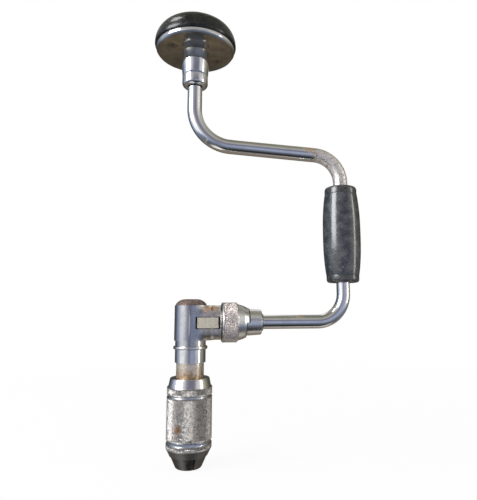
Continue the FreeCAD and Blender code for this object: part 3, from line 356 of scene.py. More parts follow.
def turned(outline):
    """A lathe-turned mesh about Z from an outline that runs once round its section."""
    points = eased(outline)
    bm = bmesh.new()
    columns = []
    for k in range(LATHE_STEPS):
        columns.append([on_lathe(bm, p.x, 2 * math.pi * k / LATHE_STEPS, p.y) for p in points])
    for k in range(LATHE_STEPS):
        here, after = columns[k], columns[(k + 1) % LATHE_STEPS]
        for i in range(len(points)):
            j = (i + 1) % len(points)
            bm.faces.new((here[i], after[i], after[j], here[j]))
    return smooth_except_corners(welded(bm, "turned"))


def worked(mesh, kind, **settings):
    """The mesh after one modifier."""
    thing = placed("blank", mesh)
    tool = thing.modifiers.new(kind.lower(), kind)
    for key, value in settings.items():
        setattr(tool, key, value)
    result = bpy.data.meshes.new_from_object(thing.evaluated_get(bpy.context.evaluated_depsgraph_get()))
    bpy.data.objects.remove(thing)
    return result


def combined(mesh, other, how):
    """Join, cut or cross one closed mesh with another."""
    tool = placed("tool", other)
    result = worked(mesh, "BOOLEAN", object=tool, operation=how, solver="EXACT",
                    use_self=how == "DIFFERENCE")
    bpy.data.objects.remove(tool)
    return result


COLLAR_BOTTOM = 306.3
COLLAR_TOP = 315.7
CUP_FLOOR = 311.4
NECK_BOTTOM = 315.9
PLATE_BOTTOM = 337.5
PLATE_TOP = 342.4
PLATE_GROOVE = 31.5
NECK_BEVEL_TOP = 317.2
NECK_CONE_TOP = 328.6
SCREW_CIRCLE = 22.1
SCREW_ANGLES = (math.radians(208.0), math.radians(28.0))
SCREW_HEAD = 4.32
collar = new_piece("head_cup", turned(
    [(7.2, 308.3), (7.2, COLLAR_BOTTOM, 0.2)] + arc((7.3, COLLAR_BOTTOM + 3.6), 3.6, -84, 0, 12)
    + [(10.9, COLLAR_TOP, 0.3), (9.9, COLLAR_TOP, 0.2), (9.9, CUP_FLOOR), (5.05, CUP_FLOOR), (5.05, 308.3)]),
    "crank_frame", "bright_chrome", "head_collar")
chrome("cup_chrome", low=0.04, high=0.12).on(collar)


def plate_chrome():
    """Chrome that is bright on neck and rim, and a darker brown but still bright on the flat under the pad.
    """
    finish = chrome("plate_chrome", low=0.04, high=0.12)
    height = finish.along("Z")
    flat = finish.times(finish.span(height, 336.9 * MM, 337.4 * MM),
                        finish.span(height, 338.3 * MM, 337.6 * MM))
    cloud = finish.grain(7.0, detail=5.0)
    brown = finish.mixed(finish.span(cloud, 0.35, 0.7), (0.50, 0.47, 0.41), (0.33, 0.30, 0.25))
    finish.colour(finish.mixed(flat, finish.so_far("Base Color"), brown))
    finish.dulled(flat, 0.10)
    return finish


def countersunk(mesh):
    """Cut the holes for the countersunk screws in the plate."""
    bm = bmesh.new()
    for angle in SCREW_ANGLES:
        place = Vector((math.cos(angle), math.sin(angle), 0)) * SCREW_CIRCLE
        for foot, top, wide, narrow in ((-1.0, 0.0, 0.0, 0.0), (0.0, 2.2, 0.0, -2.2), (2.2, 6.0, -2.2, -2.2)):
            middle = place + Vector((0, 0, PLATE_BOTTOM + (foot + top) / 2))
            bmesh.ops.create_cone(bm, cap_ends=True, segments=64, radius1=(SCREW_HEAD + wide) * MM,
                                  radius2=(SCREW_HEAD + narrow) * MM, depth=(top - foot) * MM,
                                  matrix=Matrix.Translation(middle * MM))
    return smooth_except_corners(combined(mesh, mesh_of(bm, "drills"), "DIFFERENCE"))


plate = new_piece("head_plate", countersunk(turned(
    [(5.4, 314.9), (9.4, 314.9), (9.4, NECK_BOTTOM), (10.2, NECK_BOTTOM, 0.2), (10.95, NECK_BEVEL_TOP, 0.25),
     (12.0, NECK_CONE_TOP, 0.4), (11.4, NECK_CONE_TOP + 0.7, 0.3), (11.4, PLATE_BOTTOM, 0.3),
     (PLATE_GROOVE - 0.35, PLATE_BOTTOM, 0.15), (PLATE_GROOVE, PLATE_BOTTOM + 0.4),
     (PLATE_GROOVE + 0.35, PLATE_BOTTOM, 0.15), (32.2, PLATE_BOTTOM, 0.3), (33.5, 339.2, 0.8),
     (33.4, PLATE_TOP, 0.5), (12.0, PLATE_TOP), (12.0, 339.5), (7.52, 339.5), (7.52, 319.0), (5.4, 319.0)])),
    "head", "bright_chrome", "head_flange")
plate_chrome().on(plate)


# The pad is a mushroom of charcoal phenolic, moulded hollow and screwed to the plate from below.
# Years of leaning have polished its rim in places and left grey scuffs over the rest.
def scuffed_plastic(name, deep, dusty, cloud_size, shine=1.0):
    """Moulded plastic, polished by hands, with dull scuffs and dust in them."""
    finish = Finish(name, Specular_IOR_Level=shine)
    cloud = finish.grain(cloud_size, detail=7.0, rough=0.65)
    fine = finish.grain(0.9, detail=4.0, rough=0.7)
    scuffs = finish.span(finish.plus(cloud, finish.times(fine, 0.5)), 0.66, 0.98)
    nicks = finish.span(finish.grain(1.1, detail=2.0), 0.68, 0.72)
    finish.colour(finish.mixed(nicks, finish.mixed(scuffs, deep, dusty), (0.30, 0.30, 0.30)))
    worn = finish.plus(cloud, finish.times(fine, 0.6))
    finish.rough(finish.span(worn, 0.5, 1.05, 0.09, 0.30))
    finish.bumps(fine, 0.02)
    finish.bumps(finish.grain(5.0, detail=2.0), 0.06)
    return finish


PAD_EDGE = (15.9, 344.0)
PAD_EDGE_RADIUS = 18.85
PAD_TOP = 363.45
crown = [(12.5, 363.05), (9.0, 363.22), (5.5, 363.35), (2.5, 363.43)]
pad = new_piece("head_pad_moulding", turned(
    [(12.5, PLATE_TOP), (34.5, PLATE_TOP, 0.3)] + arc(PAD_EDGE, PAD_EDGE_RADIUS, -2, 87, 24) + crown
    + [(0.0, PAD_TOP), (0.0, 348.0), (12.5, 348.0)]), "head", "pad_plastic", "head_pad")
scuffed_plastic("pad_plastic", (0.004, 0.004, 0.005), (0.026, 0.025, 0.024), 10.0, shine=0.5).on(pad)


# The grip is a barrel of the same phenolic on two flanged bushes, which show as rings at its ends.
# The palm has worn the barrel to a soft shine, and the bushes stay duller.
GRIP_BOTTOM = 140.4
SLEEVE_BOTTOM = 146.6
SLEEVE_TOP = 216.3
GRIP_TOP = 222.9
GRIP_END = 13.8
BUSH_RADIUS = 13.7


def barrel_radius(height):
    """The grip's radius at a height: full over its middle, drawn in towards both ends."""
    from_middle = abs(2 * (height - SLEEVE_BOTTOM) / (SLEEVE_TOP - SLEEVE_BOTTOM) - 1)
    return 15.95 - 2.15 * from_middle ** 2.6


def moved_to_grip(mesh):
    mesh.transform(Matrix.Translation((THROW, 0, 0)))
    return mesh


sleeve_side = [(barrel_radius(SLEEVE_BOTTOM + (SLEEVE_TOP - SLEEVE_BOTTOM) * i / 40),
                SLEEVE_BOTTOM + (SLEEVE_TOP - SLEEVE_BOTTOM) * i / 40) for i in range(1, 40)]
grip = new_piece("grip_barrel", moved_to_grip(turned(
    [(9.02, SLEEVE_BOTTOM), (GRIP_END, SLEEVE_BOTTOM, 0.25)] + sleeve_side
    + [(GRIP_END, SLEEVE_TOP, 0.25), (9.02, SLEEVE_TOP)])), "grip", "grip_plastic", "grip_sleeve")
scuffed_plastic("grip_plastic", (0.020, 0.024, 0.030), (0.095, 0.099, 0.107), 7.0).on(grip)
lower_bush = new_piece("grip_lower_end", moved_to_grip(turned([
    (6.25, GRIP_BOTTOM), (BUSH_RADIUS, GRIP_BOTTOM, 3.4), (BUSH_RADIUS, SLEEVE_BOTTOM - 0.02, 0.25),
    (9.0, SLEEVE_BOTTOM - 0.02), (9.0, 160.6), (6.25, 160.6)])), "grip", "grip_plastic", "grip_bush_bottom")
upper_bush = new_piece("grip_upper_end", moved_to_grip(turned([
    (6.25, 202.3), (9.0, 202.3), (9.0, SLEEVE_TOP + 0.02), (BUSH_RADIUS, SLEEVE_TOP + 0.02, 0.25),
    (BUSH_RADIUS, GRIP_TOP, 3.4), (6.25, GRIP_TOP)])), "grip", "grip_plastic", "grip_bush_top")
bush_plastic = scuffed_plastic("bush_plastic", (0.022, 0.022, 0.023), (0.08, 0.078, 0.076), 4.0)
bush_plastic.on(lower_bush)
bush_plastic.on(upper_bush)


# The ratchet body is a steel casting: an upright barrel that runs softly into a boss along the arm.
# It is machined where other pieces fit and nickel plated to a satin finish, which has gone blue-grey
# and brown in patches. Rust has started along the top of the boss beside the cap.
BARREL_RADIUS = 12.9
BARREL_BOTTOM = 94.6
BARREL_TOP = 121.8
FOOT_BOTTOM = 90.4
FOOT_RADIUS = 12.0
BOSS_HALF_WIDTH = 12.2
BOSS_HALF_HEIGHT = 13.4
BOSS_SQUARENESS = 4.0
BLEND_IN_FRONT = 2.0
BLEND_AT_SIDES = 8.0
BOSS_END = 23.5
FLANGE = 0.7
FLANGE_RADIUS = 13.6
PAWL_HEIGHT = 108.3
SLOT_HALF_HEIGHT = 4.7
SLOT_START = 3.3
SLOT_END = 22.6
CASTING_VOXEL = 0.5
NUDGE = 0.01
JOURNAL_BORE = 7.5
WHEEL_BORE = 8.5
WHEEL_FLOOR = 103.4
DETENT_BORE = 1.55
DETENT_FLOOR = 111.2
COLLAR_PIN_HOLE = 1.52
PAWL_PIN_HOLE = 1.3
SPRING_POCKET = 1.6
ROD_BORE = 5.62


def upright_bar(bm, radius, low, high, x=0.0, y=0.0):
    """Add a closed upright cylinder, in millimetres."""
    place = Matrix.Translation(Vector((x, y, (low + high) / 2)) * MM)
    bmesh.ops.create_cone(bm, cap_ends=True, segments=96, radius1=radius * MM, radius2=radius * MM,
                          depth=(high - low) * MM, matrix=place)


def block(bm, low, high):
    """Add a box between two corners, in millimetres."""
    size = (Vector(high) - Vector(low)) * MM
    middle = (Vector(high) + Vector(low)) / 2 * MM
    bmesh.ops.create_cube(bm, size=1.0, matrix=Matrix.Translation(middle) @ Matrix.Diagonal((*size, 1)))


def along_arm(mesh):
    """Lay a mesh that was turned about Z along the lower arm."""
    mesh.transform(Matrix.Translation((0, 0, ARM_HEIGHT)) @ Matrix.Rotation(math.pi / 2, 4, "Y"))
    return mesh


def beyond_casting(place):
    """How far a place in millimetres lies outside the rough casting, whose corner is rounded out."""
    barrel = math.hypot(place.x, place.y) - BARREL_RADIUS
    y, z = abs(place.y) / BOSS_HALF_WIDTH, abs(place.z - ARM_HEIGHT / MM) / BOSS_HALF_HEIGHT
    boss = ((y ** BOSS_SQUARENESS + z ** BOSS_SQUARENESS) ** (1 / BOSS_SQUARENESS) - 1) * BOSS_HALF_WIDTH
    boss = max(boss, -place.x)
    blend = BLEND_AT_SIDES + (BLEND_IN_FRONT - BLEND_AT_SIDES) * min(y, 1)
    overlap = max(blend - abs(barrel - boss), 0)
    return min(barrel, boss) - overlap ** 2 / (4 * blend)


def soft_blank():
    """Barrel and boss as the foundry leaves them, with the corner between them rounded out."""
    bm = bmesh.new()
    upright_bar(bm, BARREL_RADIUS, BARREL_BOTTOM - 9, BARREL_TOP + 9)
    rings = []
    for x in (0.0, BOSS_END + 7):
        ring = []
        for i in range(72):
            a = 2 * math.pi * i / 72
            y, z = (math.copysign(abs(value) ** (2 / BOSS_SQUARENESS), value)
                    for value in (math.cos(a), math.sin(a)))
            y, z = y * BOSS_HALF_WIDTH * MM, ARM_HEIGHT + z * BOSS_HALF_HEIGHT * MM
            ring.append(bm.verts.new((x * MM, y, z)))
        rings.append(ring)
    for first, second in zip(zip(*rings), zip(*(ring[1:] + ring[:1] for ring in rings))):
        bm.faces.new((*first, *second[::-1]))
    bm.faces.new(rings[0])
    bm.faces.new(rings[1][::-1])
    bmesh.ops.recalc_face_normals(bm, faces=bm.faces)
    blank = worked(mesh_of(bm, "blank"), "REMESH", mode="VOXEL", voxel_size=CASTING_VOXEL * MM)
    nudges = [Vector(axis) * NUDGE for axis in ((1, 0, 0), (0, 1, 0), (0, 0, 1))]
    for vertex in blank.vertices:
        for step in range(3):
            place = vertex.co / MM
            gap = beyond_casting(place)
            if gap < -3:
                break
            slope = Vector([(beyond_casting(place + nudge) - gap) / NUDGE for nudge in nudges])
            vertex.co -= slope * (gap / slope.length_squared) * MM
    return blank


def machined(blank):
    """Face the blank to its height and length, and add the turned foot, flange and stem."""
    bm = bmesh.new()
    block(bm, (-20, -20, BARREL_BOTTOM), (BOSS_END - FLANGE + 0.1, 20, BARREL_TOP))
    faced = combined(blank, mesh_of(bm, "facing"), "INTERSECT")
    bm = bmesh.new()
    upright_bar(bm, FOOT_RADIUS, FOOT_BOTTOM, BARREL_BOTTOM + 1)
    footed = combined(faced, mesh_of(bm, "foot"), "UNION")
    stem = along_arm(turned([
        (0, BOSS_END - FLANGE), (FLANGE_RADIUS, BOSS_END - FLANGE, 0.25), (FLANGE_RADIUS, BOSS_END, 0.25),
        (9.6, BOSS_END), (9.6, 37.5), (8.0, 37.5), (8.0, 56.7), (6.8, 56.7, 0.1), (6.8, 57.9, 0.3),
        (0, 57.9)]))
    return combined(footed, stem, "UNION")


def bored(casting):
    """Bore the casting for spindle, wheel and rod, and cut the pawls' slots, pin holes and pockets."""
    bm = bmesh.new()
    over, under = BARREL_TOP + 1, BARREL_BOTTOM - 1
    upright_bar(bm, JOURNAL_BORE, FOOT_BOTTOM - 1, WHEEL_FLOOR + 0.1)
    upright_bar(bm, WHEEL_BORE, WHEEL_FLOOR, over)
    upright_bar(bm, DETENT_BORE, DETENT_FLOOR, over, x=33.0)
    upright_bar(bm, COLLAR_PIN_HOLE, under, over, x=52.0)
    low, high = PAWL_HEIGHT - SLOT_HALF_HEIGHT, PAWL_HEIGHT + SLOT_HALF_HEIGHT
    for side in (-1, 1):
        for start, end, floor, brim in ((SLOT_START, SLOT_END, 6.8, 15), (SLOT_START + 0.05, 8.6, 4.4, 14.9),
                                        (SLOT_END - 0.1, 28.4, 6.85, 12.1)):
            near, far = sorted((side * floor, side * brim))
            block(bm, (start, near, low), (end, far, high))
        upright_bar(bm, PAWL_PIN_HOLE, under, over, x=16.5, y=side * 10.2)
        pocket = Matrix.Translation(Vector((21.0, side * 4.7, PAWL_HEIGHT)) * MM)
        bmesh.ops.create_cone(bm, cap_ends=True, segments=32, radius1=SPRING_POCKET * MM,
                              radius2=SPRING_POCKET * MM, depth=4.5 * MM,
                              matrix=pocket @ Matrix.Rotation(math.pi / 2, 4, "X"))
    place = Matrix.Translation((48.0 * MM, 0, ARM_HEIGHT)) @ Matrix.Rotation(math.pi / 2, 4, "Y")
    bmesh.ops.create_cone(bm, cap_ends=True, segments=96, radius1=ROD_BORE * MM, radius2=ROD_BORE * MM,
                          depth=24 * MM, matrix=place)
    return smooth_except_corners(combined(casting, mesh_of(bm, "cuts"), "DIFFERENCE"), 32)


def satin_nickel():
    """Nickel plate rubbed to satin, tarnished in blue-grey streaks and brown clouds."""
    finish = Finish("body_nickel", Metallic=1.0)
    streaks = finish.grain(5.0, detail=5.0, stretch=(1.4, 1.4, 0.25))
    cloud = finish.grain(2.2, detail=5.0)
    blue = finish.mixed(finish.span(streaks, 0.45, 0.65), (0.58, 0.585, 0.60), (0.45, 0.475, 0.54))
    finish.colour(finish.mixed(finish.span(cloud, 0.52, 0.75), blue, (0.44, 0.40, 0.36)))
    finish.rough(finish.span(cloud, 0.3, 0.8, 0.14, 0.30))
    finish.bumps(finish.grain(1.2, detail=4.0), 0.02)
    return finish


def rust_over(finish, spots):
    """Rust blooms at the spots given as ((x, y, z), reach) in millimetres."""
    patchy = finish.span(finish.grain(1.8, detail=6.0, rough=0.7), 0.3, 0.6)
    bloom = finish.span(finish.times(finish.near_any(spots), patchy), 0.22, 0.5)
    finish.colour(finish.mixed(bloom, finish.so_far("Base Color"), (0.36, 0.17, 0.06)))
    finish.metal(finish.span(bloom, 0.0, 1.0, 1.0, 0.3))
    finish.dulled(bloom, 0.75)
    return finish


def body_nickel():
    """Nickel that hands have dulled on the boss to a warm grey, with painted shade, near black, inside the
    pawls' slots.
    """
    finish = satin_nickel()
    x, y, z = (finish.along(axis) for axis in "XYZ")
    cloud = finish.grain(2.6, detail=6.0, rough=0.7)
    boss = finish.times(finish.span(x, 5.0 * MM, 9.5 * MM), finish.span(x, 28.0 * MM, 24.0 * MM))
    warm = finish.mixed(finish.span(cloud, 0.4, 0.66), (0.93, 0.87, 0.80), (0.50, 0.41, 0.34))
    plated = finish.mixed(boss, finish.so_far("Base Color"), warm)
    # Painted shade: the faces inside the pawls' slots, behind the pawls, are coloured near black.
    inside = finish.span(finish.mathed("ABSOLUTE", y), 11.9 * MM, 11.5 * MM)
    foot, brim = PAWL_HEIGHT - SLOT_HALF_HEIGHT, PAWL_HEIGHT + SLOT_HALF_HEIGHT
    for source, low, high in ((x, SLOT_START - 0.1, SLOT_START), (x, SLOT_END + 0.05, SLOT_END),
                              (z, foot - 0.1, foot), (z, brim + 0.1, brim)):
        inside = finish.times(inside, finish.span(source, low * MM, high * MM))
    finish.colour(finish.mixed(inside, plated, (0.02, 0.017, 0.014)))
    finish.dulled(boss, finish.span(cloud, 0.3, 0.7, 0.30, 0.44))
    finish.dulled(inside, 0.7)
    return finish


body = new_piece("ratchet_casting", bored(machined(soft_blank())), "crank_frame", "satin_nickel",
                 "ratchet_body")
rust_over(body_nickel(), [((12.5, -9.5, 118.5), 4.5), ((17.0, -9.0, 119.5), 5.0)]).on(body)

CAP_SEAT = 121.82
CAP_TOP = 126.68
cap = new_piece("barrel_cap", turned(
    [(0.0, 118.8), (8.45, 118.8), (8.45, CAP_SEAT), (12.3, CAP_SEAT, 0.3), (12.3, 122.6, 0.3)]
    + arc((4.52, 117.25), 9.45, 36, 84, 12) + [(0.0, CAP_TOP)]), "crank_frame", "rusty_cap_steel", "body_cap")


def rusty_cap():
    """Browned steel with darker pits and pinkish specks."""
    finish = Finish("cap_rust", Metallic=0.6)
    cloud = finish.grain(2.5, detail=6.0, rough=0.7)
    brown = finish.mixed(finish.span(cloud, 0.35, 0.65), (0.10, 0.07, 0.06), (0.30, 0.22, 0.19))
    specks = finish.span(finish.grain(0.9, detail=3.0), 0.62, 0.68)
    finish.colour(finish.mixed(specks, brown, (0.62, 0.42, 0.36)))
    finish.rough(finish.span(cloud, 0.3, 0.8, 0.38, 0.7))
    finish.bumps(cloud, 0.10)
    return finish


rusty_cap().on(cap)


# Two pawls of bare steel lie in slots at the sides of the boss. The front one drops in the wheel, the
# back one is held off it, and both rock on plain pins under small coil springs. The wheel, pins,
# nuts, springs and balls inside are small hard pieces, and screws of the same steel hold the plate.
EDGE_ANGLE = 30.0


def beveled_copy(name, node, body, slot, width=0.3):
    """A copy of a frame piece with its edges broken, as a file leaves them."""
    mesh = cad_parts[node].data.copy()
    bm = bmesh.new()
    bm.from_mesh(mesh)
    bmesh.ops.remove_doubles(bm, verts=bm.verts, dist=2e-6)
    bmesh.ops.dissolve_limit(bm, angle_limit=math.radians(0.4), verts=bm.verts, edges=bm.edges)
    bm.to_mesh(mesh)
    bm.free()
    piece = new_piece(name, smooth_except_corners(mesh, EDGE_ANGLE), body, slot, node)
    bevel = piece.modifiers.new("broken_edges", "BEVEL")
    bevel.width = width * MM
    bevel.segments = 2
    bevel.limit_method = "ANGLE"
    bevel.angle_limit = math.radians(EDGE_ANGLE)
    true_faces = piece.modifiers.new("true_faces", "WEIGHTED_NORMAL")
    true_faces.keep_sharp = True
    true_faces.weight = 100
    return piece


def bare_steel(name, tint=(0.52, 0.48, 0.41), dark=(0.24, 0.19, 0.14), metal=0.85):
    """Steel left bare, with a thin brown film."""
    finish = Finish(name, Metallic=metal)
    cloud = finish.grain(2.0, detail=6.0, rough=0.65)
    finish.colour(finish.mixed(finish.span(cloud, 0.45, 0.75), tint, dark))
    finish.rough(finish.span(cloud, 0.3, 0.8, 0.36, 0.58))
    finish.bumps(finish.grain(0.8, detail=3.0), 0.02)
    return finish


pawl_steel = bare_steel("pawl_steel", tint=(0.66, 0.61, 0.50), dark=(0.42, 0.37, 0.29), metal=0.45)
# Painted shade: the pawls' tongues past 21.3 mm along the arm are coloured near black, where they lie in the
# slots' shade.
painted_tongue_shade = pawl_steel.span(pawl_steel.along("X"), 21.3 * MM, 21.5 * MM)
pawl_steel.colour(pawl_steel.mixed(painted_tongue_shade, pawl_steel.so_far("Base Color"), (0.03, 0.025, 0.02)))
for side in ("front", "back"):
    pawl_steel.on(beveled_copy(side + "_pawl_bar", "pawl_" + side, side + "_pawl", "bare_steel", width=0.2))

inner_steel = bare_steel("inner_steel")
for node in ("ratchet_wheel", "wheel_key", "pawl_pin_front", "pawl_pin_back", "rear_collar_pin", "head_nut",
             "head_washer", "spindle_nut"):
    inner_steel.on(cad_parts[node])


def spring_wire():
    """Drawn wire, dark and slightly oily."""
    finish = Finish("spring_wire", Metallic=1.0)
    finish.colour(finish.mixed(finish.grain(1.5), (0.30, 0.29, 0.27), (0.18, 0.17, 0.15)))
    finish.rough(finish.span(finish.grain(0.8), 0.3, 0.7, 0.25, 0.45))
    return finish


wire = spring_wire()
for node in ("pawl_spring_front", "pawl_spring_back", "detent_spring", "jaw_spring", "jaw_retaining_ring"):
    wire.on(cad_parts[node])
balls = chrome("ball_steel", low=0.04, high=0.08)
for node in ("head_bearing_balls", "detent_ball"):
    balls.on(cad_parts[node])


def turned_bronze():
    finish = Finish("turned_bronze", Metallic=1.0)
    finish.colour(finish.mixed(finish.grain(2.0), (0.55, 0.36, 0.16), (0.38, 0.25, 0.12)))
    finish.rough(finish.span(finish.grain(1.0, stretch=(0.2, 0.2, 3.0)), 0.3, 0.7, 0.25, 0.4))
    return finish


turned_bronze().on(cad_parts["head_bush"])
screw = beveled_copy("plate_screws", "head_screws", "head", "bare_steel", width=0.12)
bare_steel("screw_steel", tint=(0.36, 0.33, 0.28), dark=(0.22, 0.19, 0.15), metal=1.0).on(screw)


# The selector is a ring with a fine diamond knurl and a tapered skirt behind it, nickel plated and
# dulled. It turns on the stem, and its off-centre bore rocks the pawls. A lug on the collar behind
# it meets the step in the skirt's end.
RING_START = 24.2
RING_END = 36.8
RING_RADIUS = 15.9
RING_BORE = 9.65
CAM_RADIUS = 11.61
CAM_OFFSET = 1.32
CAM_ANGLE = math.radians(55.0)
CAM_END = 28.4
SKIRT_STEP = 43.9
SKIRT_END = 46.3
SKIRT_BORE = 8.3
KNURL_ROW = 1
FINE_KNURL = 1.0
FINE_KNURL_DEPTH = 0.26


def rolled_rows(points, bands, pitch):
    """Rows for the knurled stretches of an outline: a point and whether the knurl raises it."""
    rows = []
    outside = max(point.x for point in points) - 0.05
    for i, here in enumerate(points):
        after = points[(i + 1) % len(points)]
        rows.append((here, None))
        middle = (here.y + after.y) / 2
        if min(here.x, after.x) < outside or not any(low < middle < high for low, high in bands):
            continue
        count = 2 * round((after - here).length / pitch)
        rows += [(here.lerp(after, j / count), j % 2) for j in range(1, count)]
    return rows


def knurled(outline, bands, pitch, depth):
    """A turned mesh with diamond knurls rolled in between the heights of each band."""
    rows = rolled_rows(eased(outline), bands, pitch)
    widest = max(point.x for point, raised in rows)
    steps = 2 * round(2 * math.pi * widest / pitch)
    bm = bmesh.new()
    columns = []
    for k in range(steps):
        a = 2 * math.pi * k / steps
        column = []
        for point, parity in rows:
            radius = point.x
            if parity is not None:
                worn = 0.86 + 0.28 * noise.cell(Vector((k + 0.5, len(column) + 0.5, 0.5)))
                radius -= depth * worn * ((k + parity) % 2)
            column.append(on_lathe(bm, radius, a, point.y))
        columns.append(column)
    for k in range(steps):
        here, beside = columns[k], columns[(k + 1) % steps]
        for i, (point, parity) in enumerate(rows):
            j = (i + 1) % len(rows)
            corners = (here[i], beside[i], beside[j], here[j])
            if parity is None and rows[j][1] is None:
                bm.faces.new(corners)
                continue
            turn = (k + (parity if parity is not None else 1 - rows[j][1])) % 2
            corners = corners[1 - turn:] + corners[:1 - turn]
            for triangle in ((corners[0], corners[1], corners[2]), (corners[0], corners[2], corners[3])):
                bm.faces.new(triangle).material_index = KNURL_ROW
    return smooth_except_corners(welded(bm, "knurled"), flat=(KNURL_ROW,))


def knurl_steel(name, tint, dark, plain, axis, zones, shine=(0.08, 0.24)):
    """Plated steel: light knurl points over grime and pits, and polished plate in the plain zones."""
    finish = Finish(name)
    cloud = finish.grain(4.0, detail=6.0, rough=0.65)
    grime = finish.span(finish.grain(1.2, detail=4.0, rough=0.7), 0.46, 0.62)
    place = finish.along(axis)
    polished = 0.0
    for low, high in zones:
        inside = finish.times(finish.span(place, (low - 0.1) * MM, low * MM),
                              finish.span(place, (high + 0.1) * MM, high * MM))
        polished = finish.most(polished, inside)
    worn = finish.mixed(finish.most(finish.span(cloud, 0.5, 0.8, 0.0, 0.5), grime), tint, dark)
    plate = finish.mixed(finish.span(cloud, 0.5, 0.75), plain, darker(plain, 0.8))
    finish.colour(finish.mixed(polished, worn, plate))
    finish.metal(finish.span(polished, 0.0, 1.0, 0.82, 1.0))
    dull = finish.span(cloud, 0.3, 0.8, 0.32, 0.46)
    finish.rough(finish.mixed_value(polished, dull, finish.span(cloud, 0.3, 0.8, *shine)))
    return finish


def cut_cam(mesh):
    """Bore the front of the ring off its centre, so that it rocks the pawls as it turns."""
    start = RING_START - 2
    tool = along_arm(turned([(0, start), (CAM_RADIUS, start), (CAM_RADIUS, CAM_END), (0, CAM_END)]))
    across = -CAM_OFFSET * math.cos(CAM_ANGLE)
    up = CAM_OFFSET * math.sin(CAM_ANGLE)
    tool.transform(Matrix.Translation((0, across * MM, up * MM)))
    return combined(mesh, tool, "DIFFERENCE")


def cut_step(mesh, start, end):
    """Cut the lower half of a ring on the arm away between two places along the arm."""
    bm = bmesh.new()
    block(bm, (start, -30, ARM_HEIGHT / MM - 30), (end, 30, ARM_HEIGHT / MM))
    return smooth_except_corners(combined(mesh, mesh_of(bm, "step"), "DIFFERENCE"), flat=(KNURL_ROW,))


ring_mesh = along_arm(knurled([
    (RING_BORE, RING_START), (RING_RADIUS - 1.0, RING_START, 0.2), (RING_RADIUS, RING_START + 1.0, 0.3),
    (RING_RADIUS, RING_START + 1.4), (RING_RADIUS, RING_END - 0.7), (RING_RADIUS - 0.3, RING_END - 0.2, 0.2),
    (RING_RADIUS - 1.1, RING_END, 0.15), (14.6, RING_END + 0.3, 0.3), (13.2, 41.8, 5.0), (11.4, 45.2, 0.8),
    (11.3, SKIRT_END, 0.25), (SKIRT_BORE, SKIRT_END), (SKIRT_BORE, 37.8), (RING_BORE, 37.8),
], [(RING_START + 1.4, RING_END - 0.7)], FINE_KNURL, FINE_KNURL_DEPTH))
selector = new_piece("selector_knurled_ring", cut_step(cut_cam(ring_mesh), SKIRT_STEP, SKIRT_END + 5),
                     "selector", "knurled_steel", "selector_ring")


def selector_steel():
    """Knurl and dulled plate, with painted shade at the joint behind the skirt and at its step."""
    finish = knurl_steel(
        "selector_steel", (0.74, 0.67, 0.65), (0.36, 0.31, 0.29), (0.80, 0.79, 0.77), "X",
        [(RING_START - 1, RING_START + 1.1), (RING_END - 0.1, SKIRT_END + 1)], shine=(0.20, 0.40))
    place = finish.along("X")
    lower_half = finish.span(finish.along("Z"), ARM_HEIGHT + 0.3 * MM, ARM_HEIGHT)
    # Painted shade: the skirt's end and, on its lower half, its step are coloured dark brown where the joint
    # with the collar behind lies in shade.
    painted_joint_shade = finish.span(place, (SKIRT_END - 0.8) * MM, (SKIRT_END - 0.3) * MM)
    painted_step_shade = finish.span(place, (SKIRT_STEP - 0.9) * MM, (SKIRT_STEP - 0.3) * MM)
    painted_joint_shade = finish.most(painted_joint_shade, finish.times(lower_half, painted_step_shade))
    finish.colour(finish.mixed(painted_joint_shade, finish.so_far("Base Color"), (0.10, 0.085, 0.07)))
    return finish


selector_steel().on(selector)

rear_collar = beveled_copy("rear_stop_collar", "rear_collar", "crank_frame", "bright_chrome", width=0.25)
chrome("rear_collar_chrome", tint=(0.97, 0.96, 0.94), low=0.20, high=0.34).on(rear_collar)


# The chuck's spindle turns in the barrel on a rolled washer. Its band is plated, and the neck below
# the band has lost its plate to a tan film of rust, which is browner towards the shell.
BAND_BOTTOM = 77.8
SHELL_TOP = 66.3
spindle = beveled_copy("chuck_spindle_bar", "chuck_spindle", "chuck", "satin_nickel", width=0.25)


def spindle_finish():
    """Plate on the band, and a film of tan and brown rust on the neck."""
    finish = chrome("spindle_steel", tint=(0.80, 0.80, 0.80), low=0.07, high=0.20)
    height = finish.along("Z")
    bare = finish.span(height, (BAND_BOTTOM - 0.1) * MM, (BAND_BOTTOM + 0.1) * MM, 1.0, 0.0)
    low = finish.span(height, (SHELL_TOP + 0.5) * MM, (SHELL_TOP + 10) * MM, 1.0, 0.0)
    cloud = finish.grain(2.5, detail=6.0, rough=0.7)
    specks = finish.span(finish.grain(0.9, detail=5.0, rough=0.7), 0.44, 0.62)
    tan = finish.mixed(specks, (0.76, 0.69, 0.61), (0.46, 0.35, 0.25))
    brown = finish.mixed(finish.span(cloud, 0.35, 0.6), (0.58, 0.42, 0.26), (0.34, 0.21, 0.11))
    share = finish.span(finish.times(low, finish.span(cloud, 0.3, 0.6)), 0.1, 0.7)
    finish.colour(finish.mixed(bare, finish.so_far("Base Color"), finish.mixed(share, tan, brown)))
    finish.dulled(bare, finish.span(share, 0.0, 1.0, 0.22, 0.4))
    finish.metal(finish.span(bare, 0.0, 1.0, 1.0, 0.68))
    return finish


spindle_finish().on(spindle)
WASHER_RADIUS = 13.35
WASHER_BOTTOM = 87.9
WASHER_TOP = 90.3
washer = new_piece("rolled_washer", turned([
    (7.55, WASHER_BOTTOM), (12.0, WASHER_BOTTOM, 0.2), (WASHER_RADIUS, WASHER_BOTTOM, 1.1),
    (WASHER_RADIUS, WASHER_TOP, 1.1), (12.0, WASHER_TOP, 0.2), (7.55, WASHER_TOP)]),
    "crank_frame", "bright_chrome", "spindle_washer")
chrome("washer_chrome", tint=(0.90, 0.88, 0.85), low=0.08, high=0.2).on(washer)


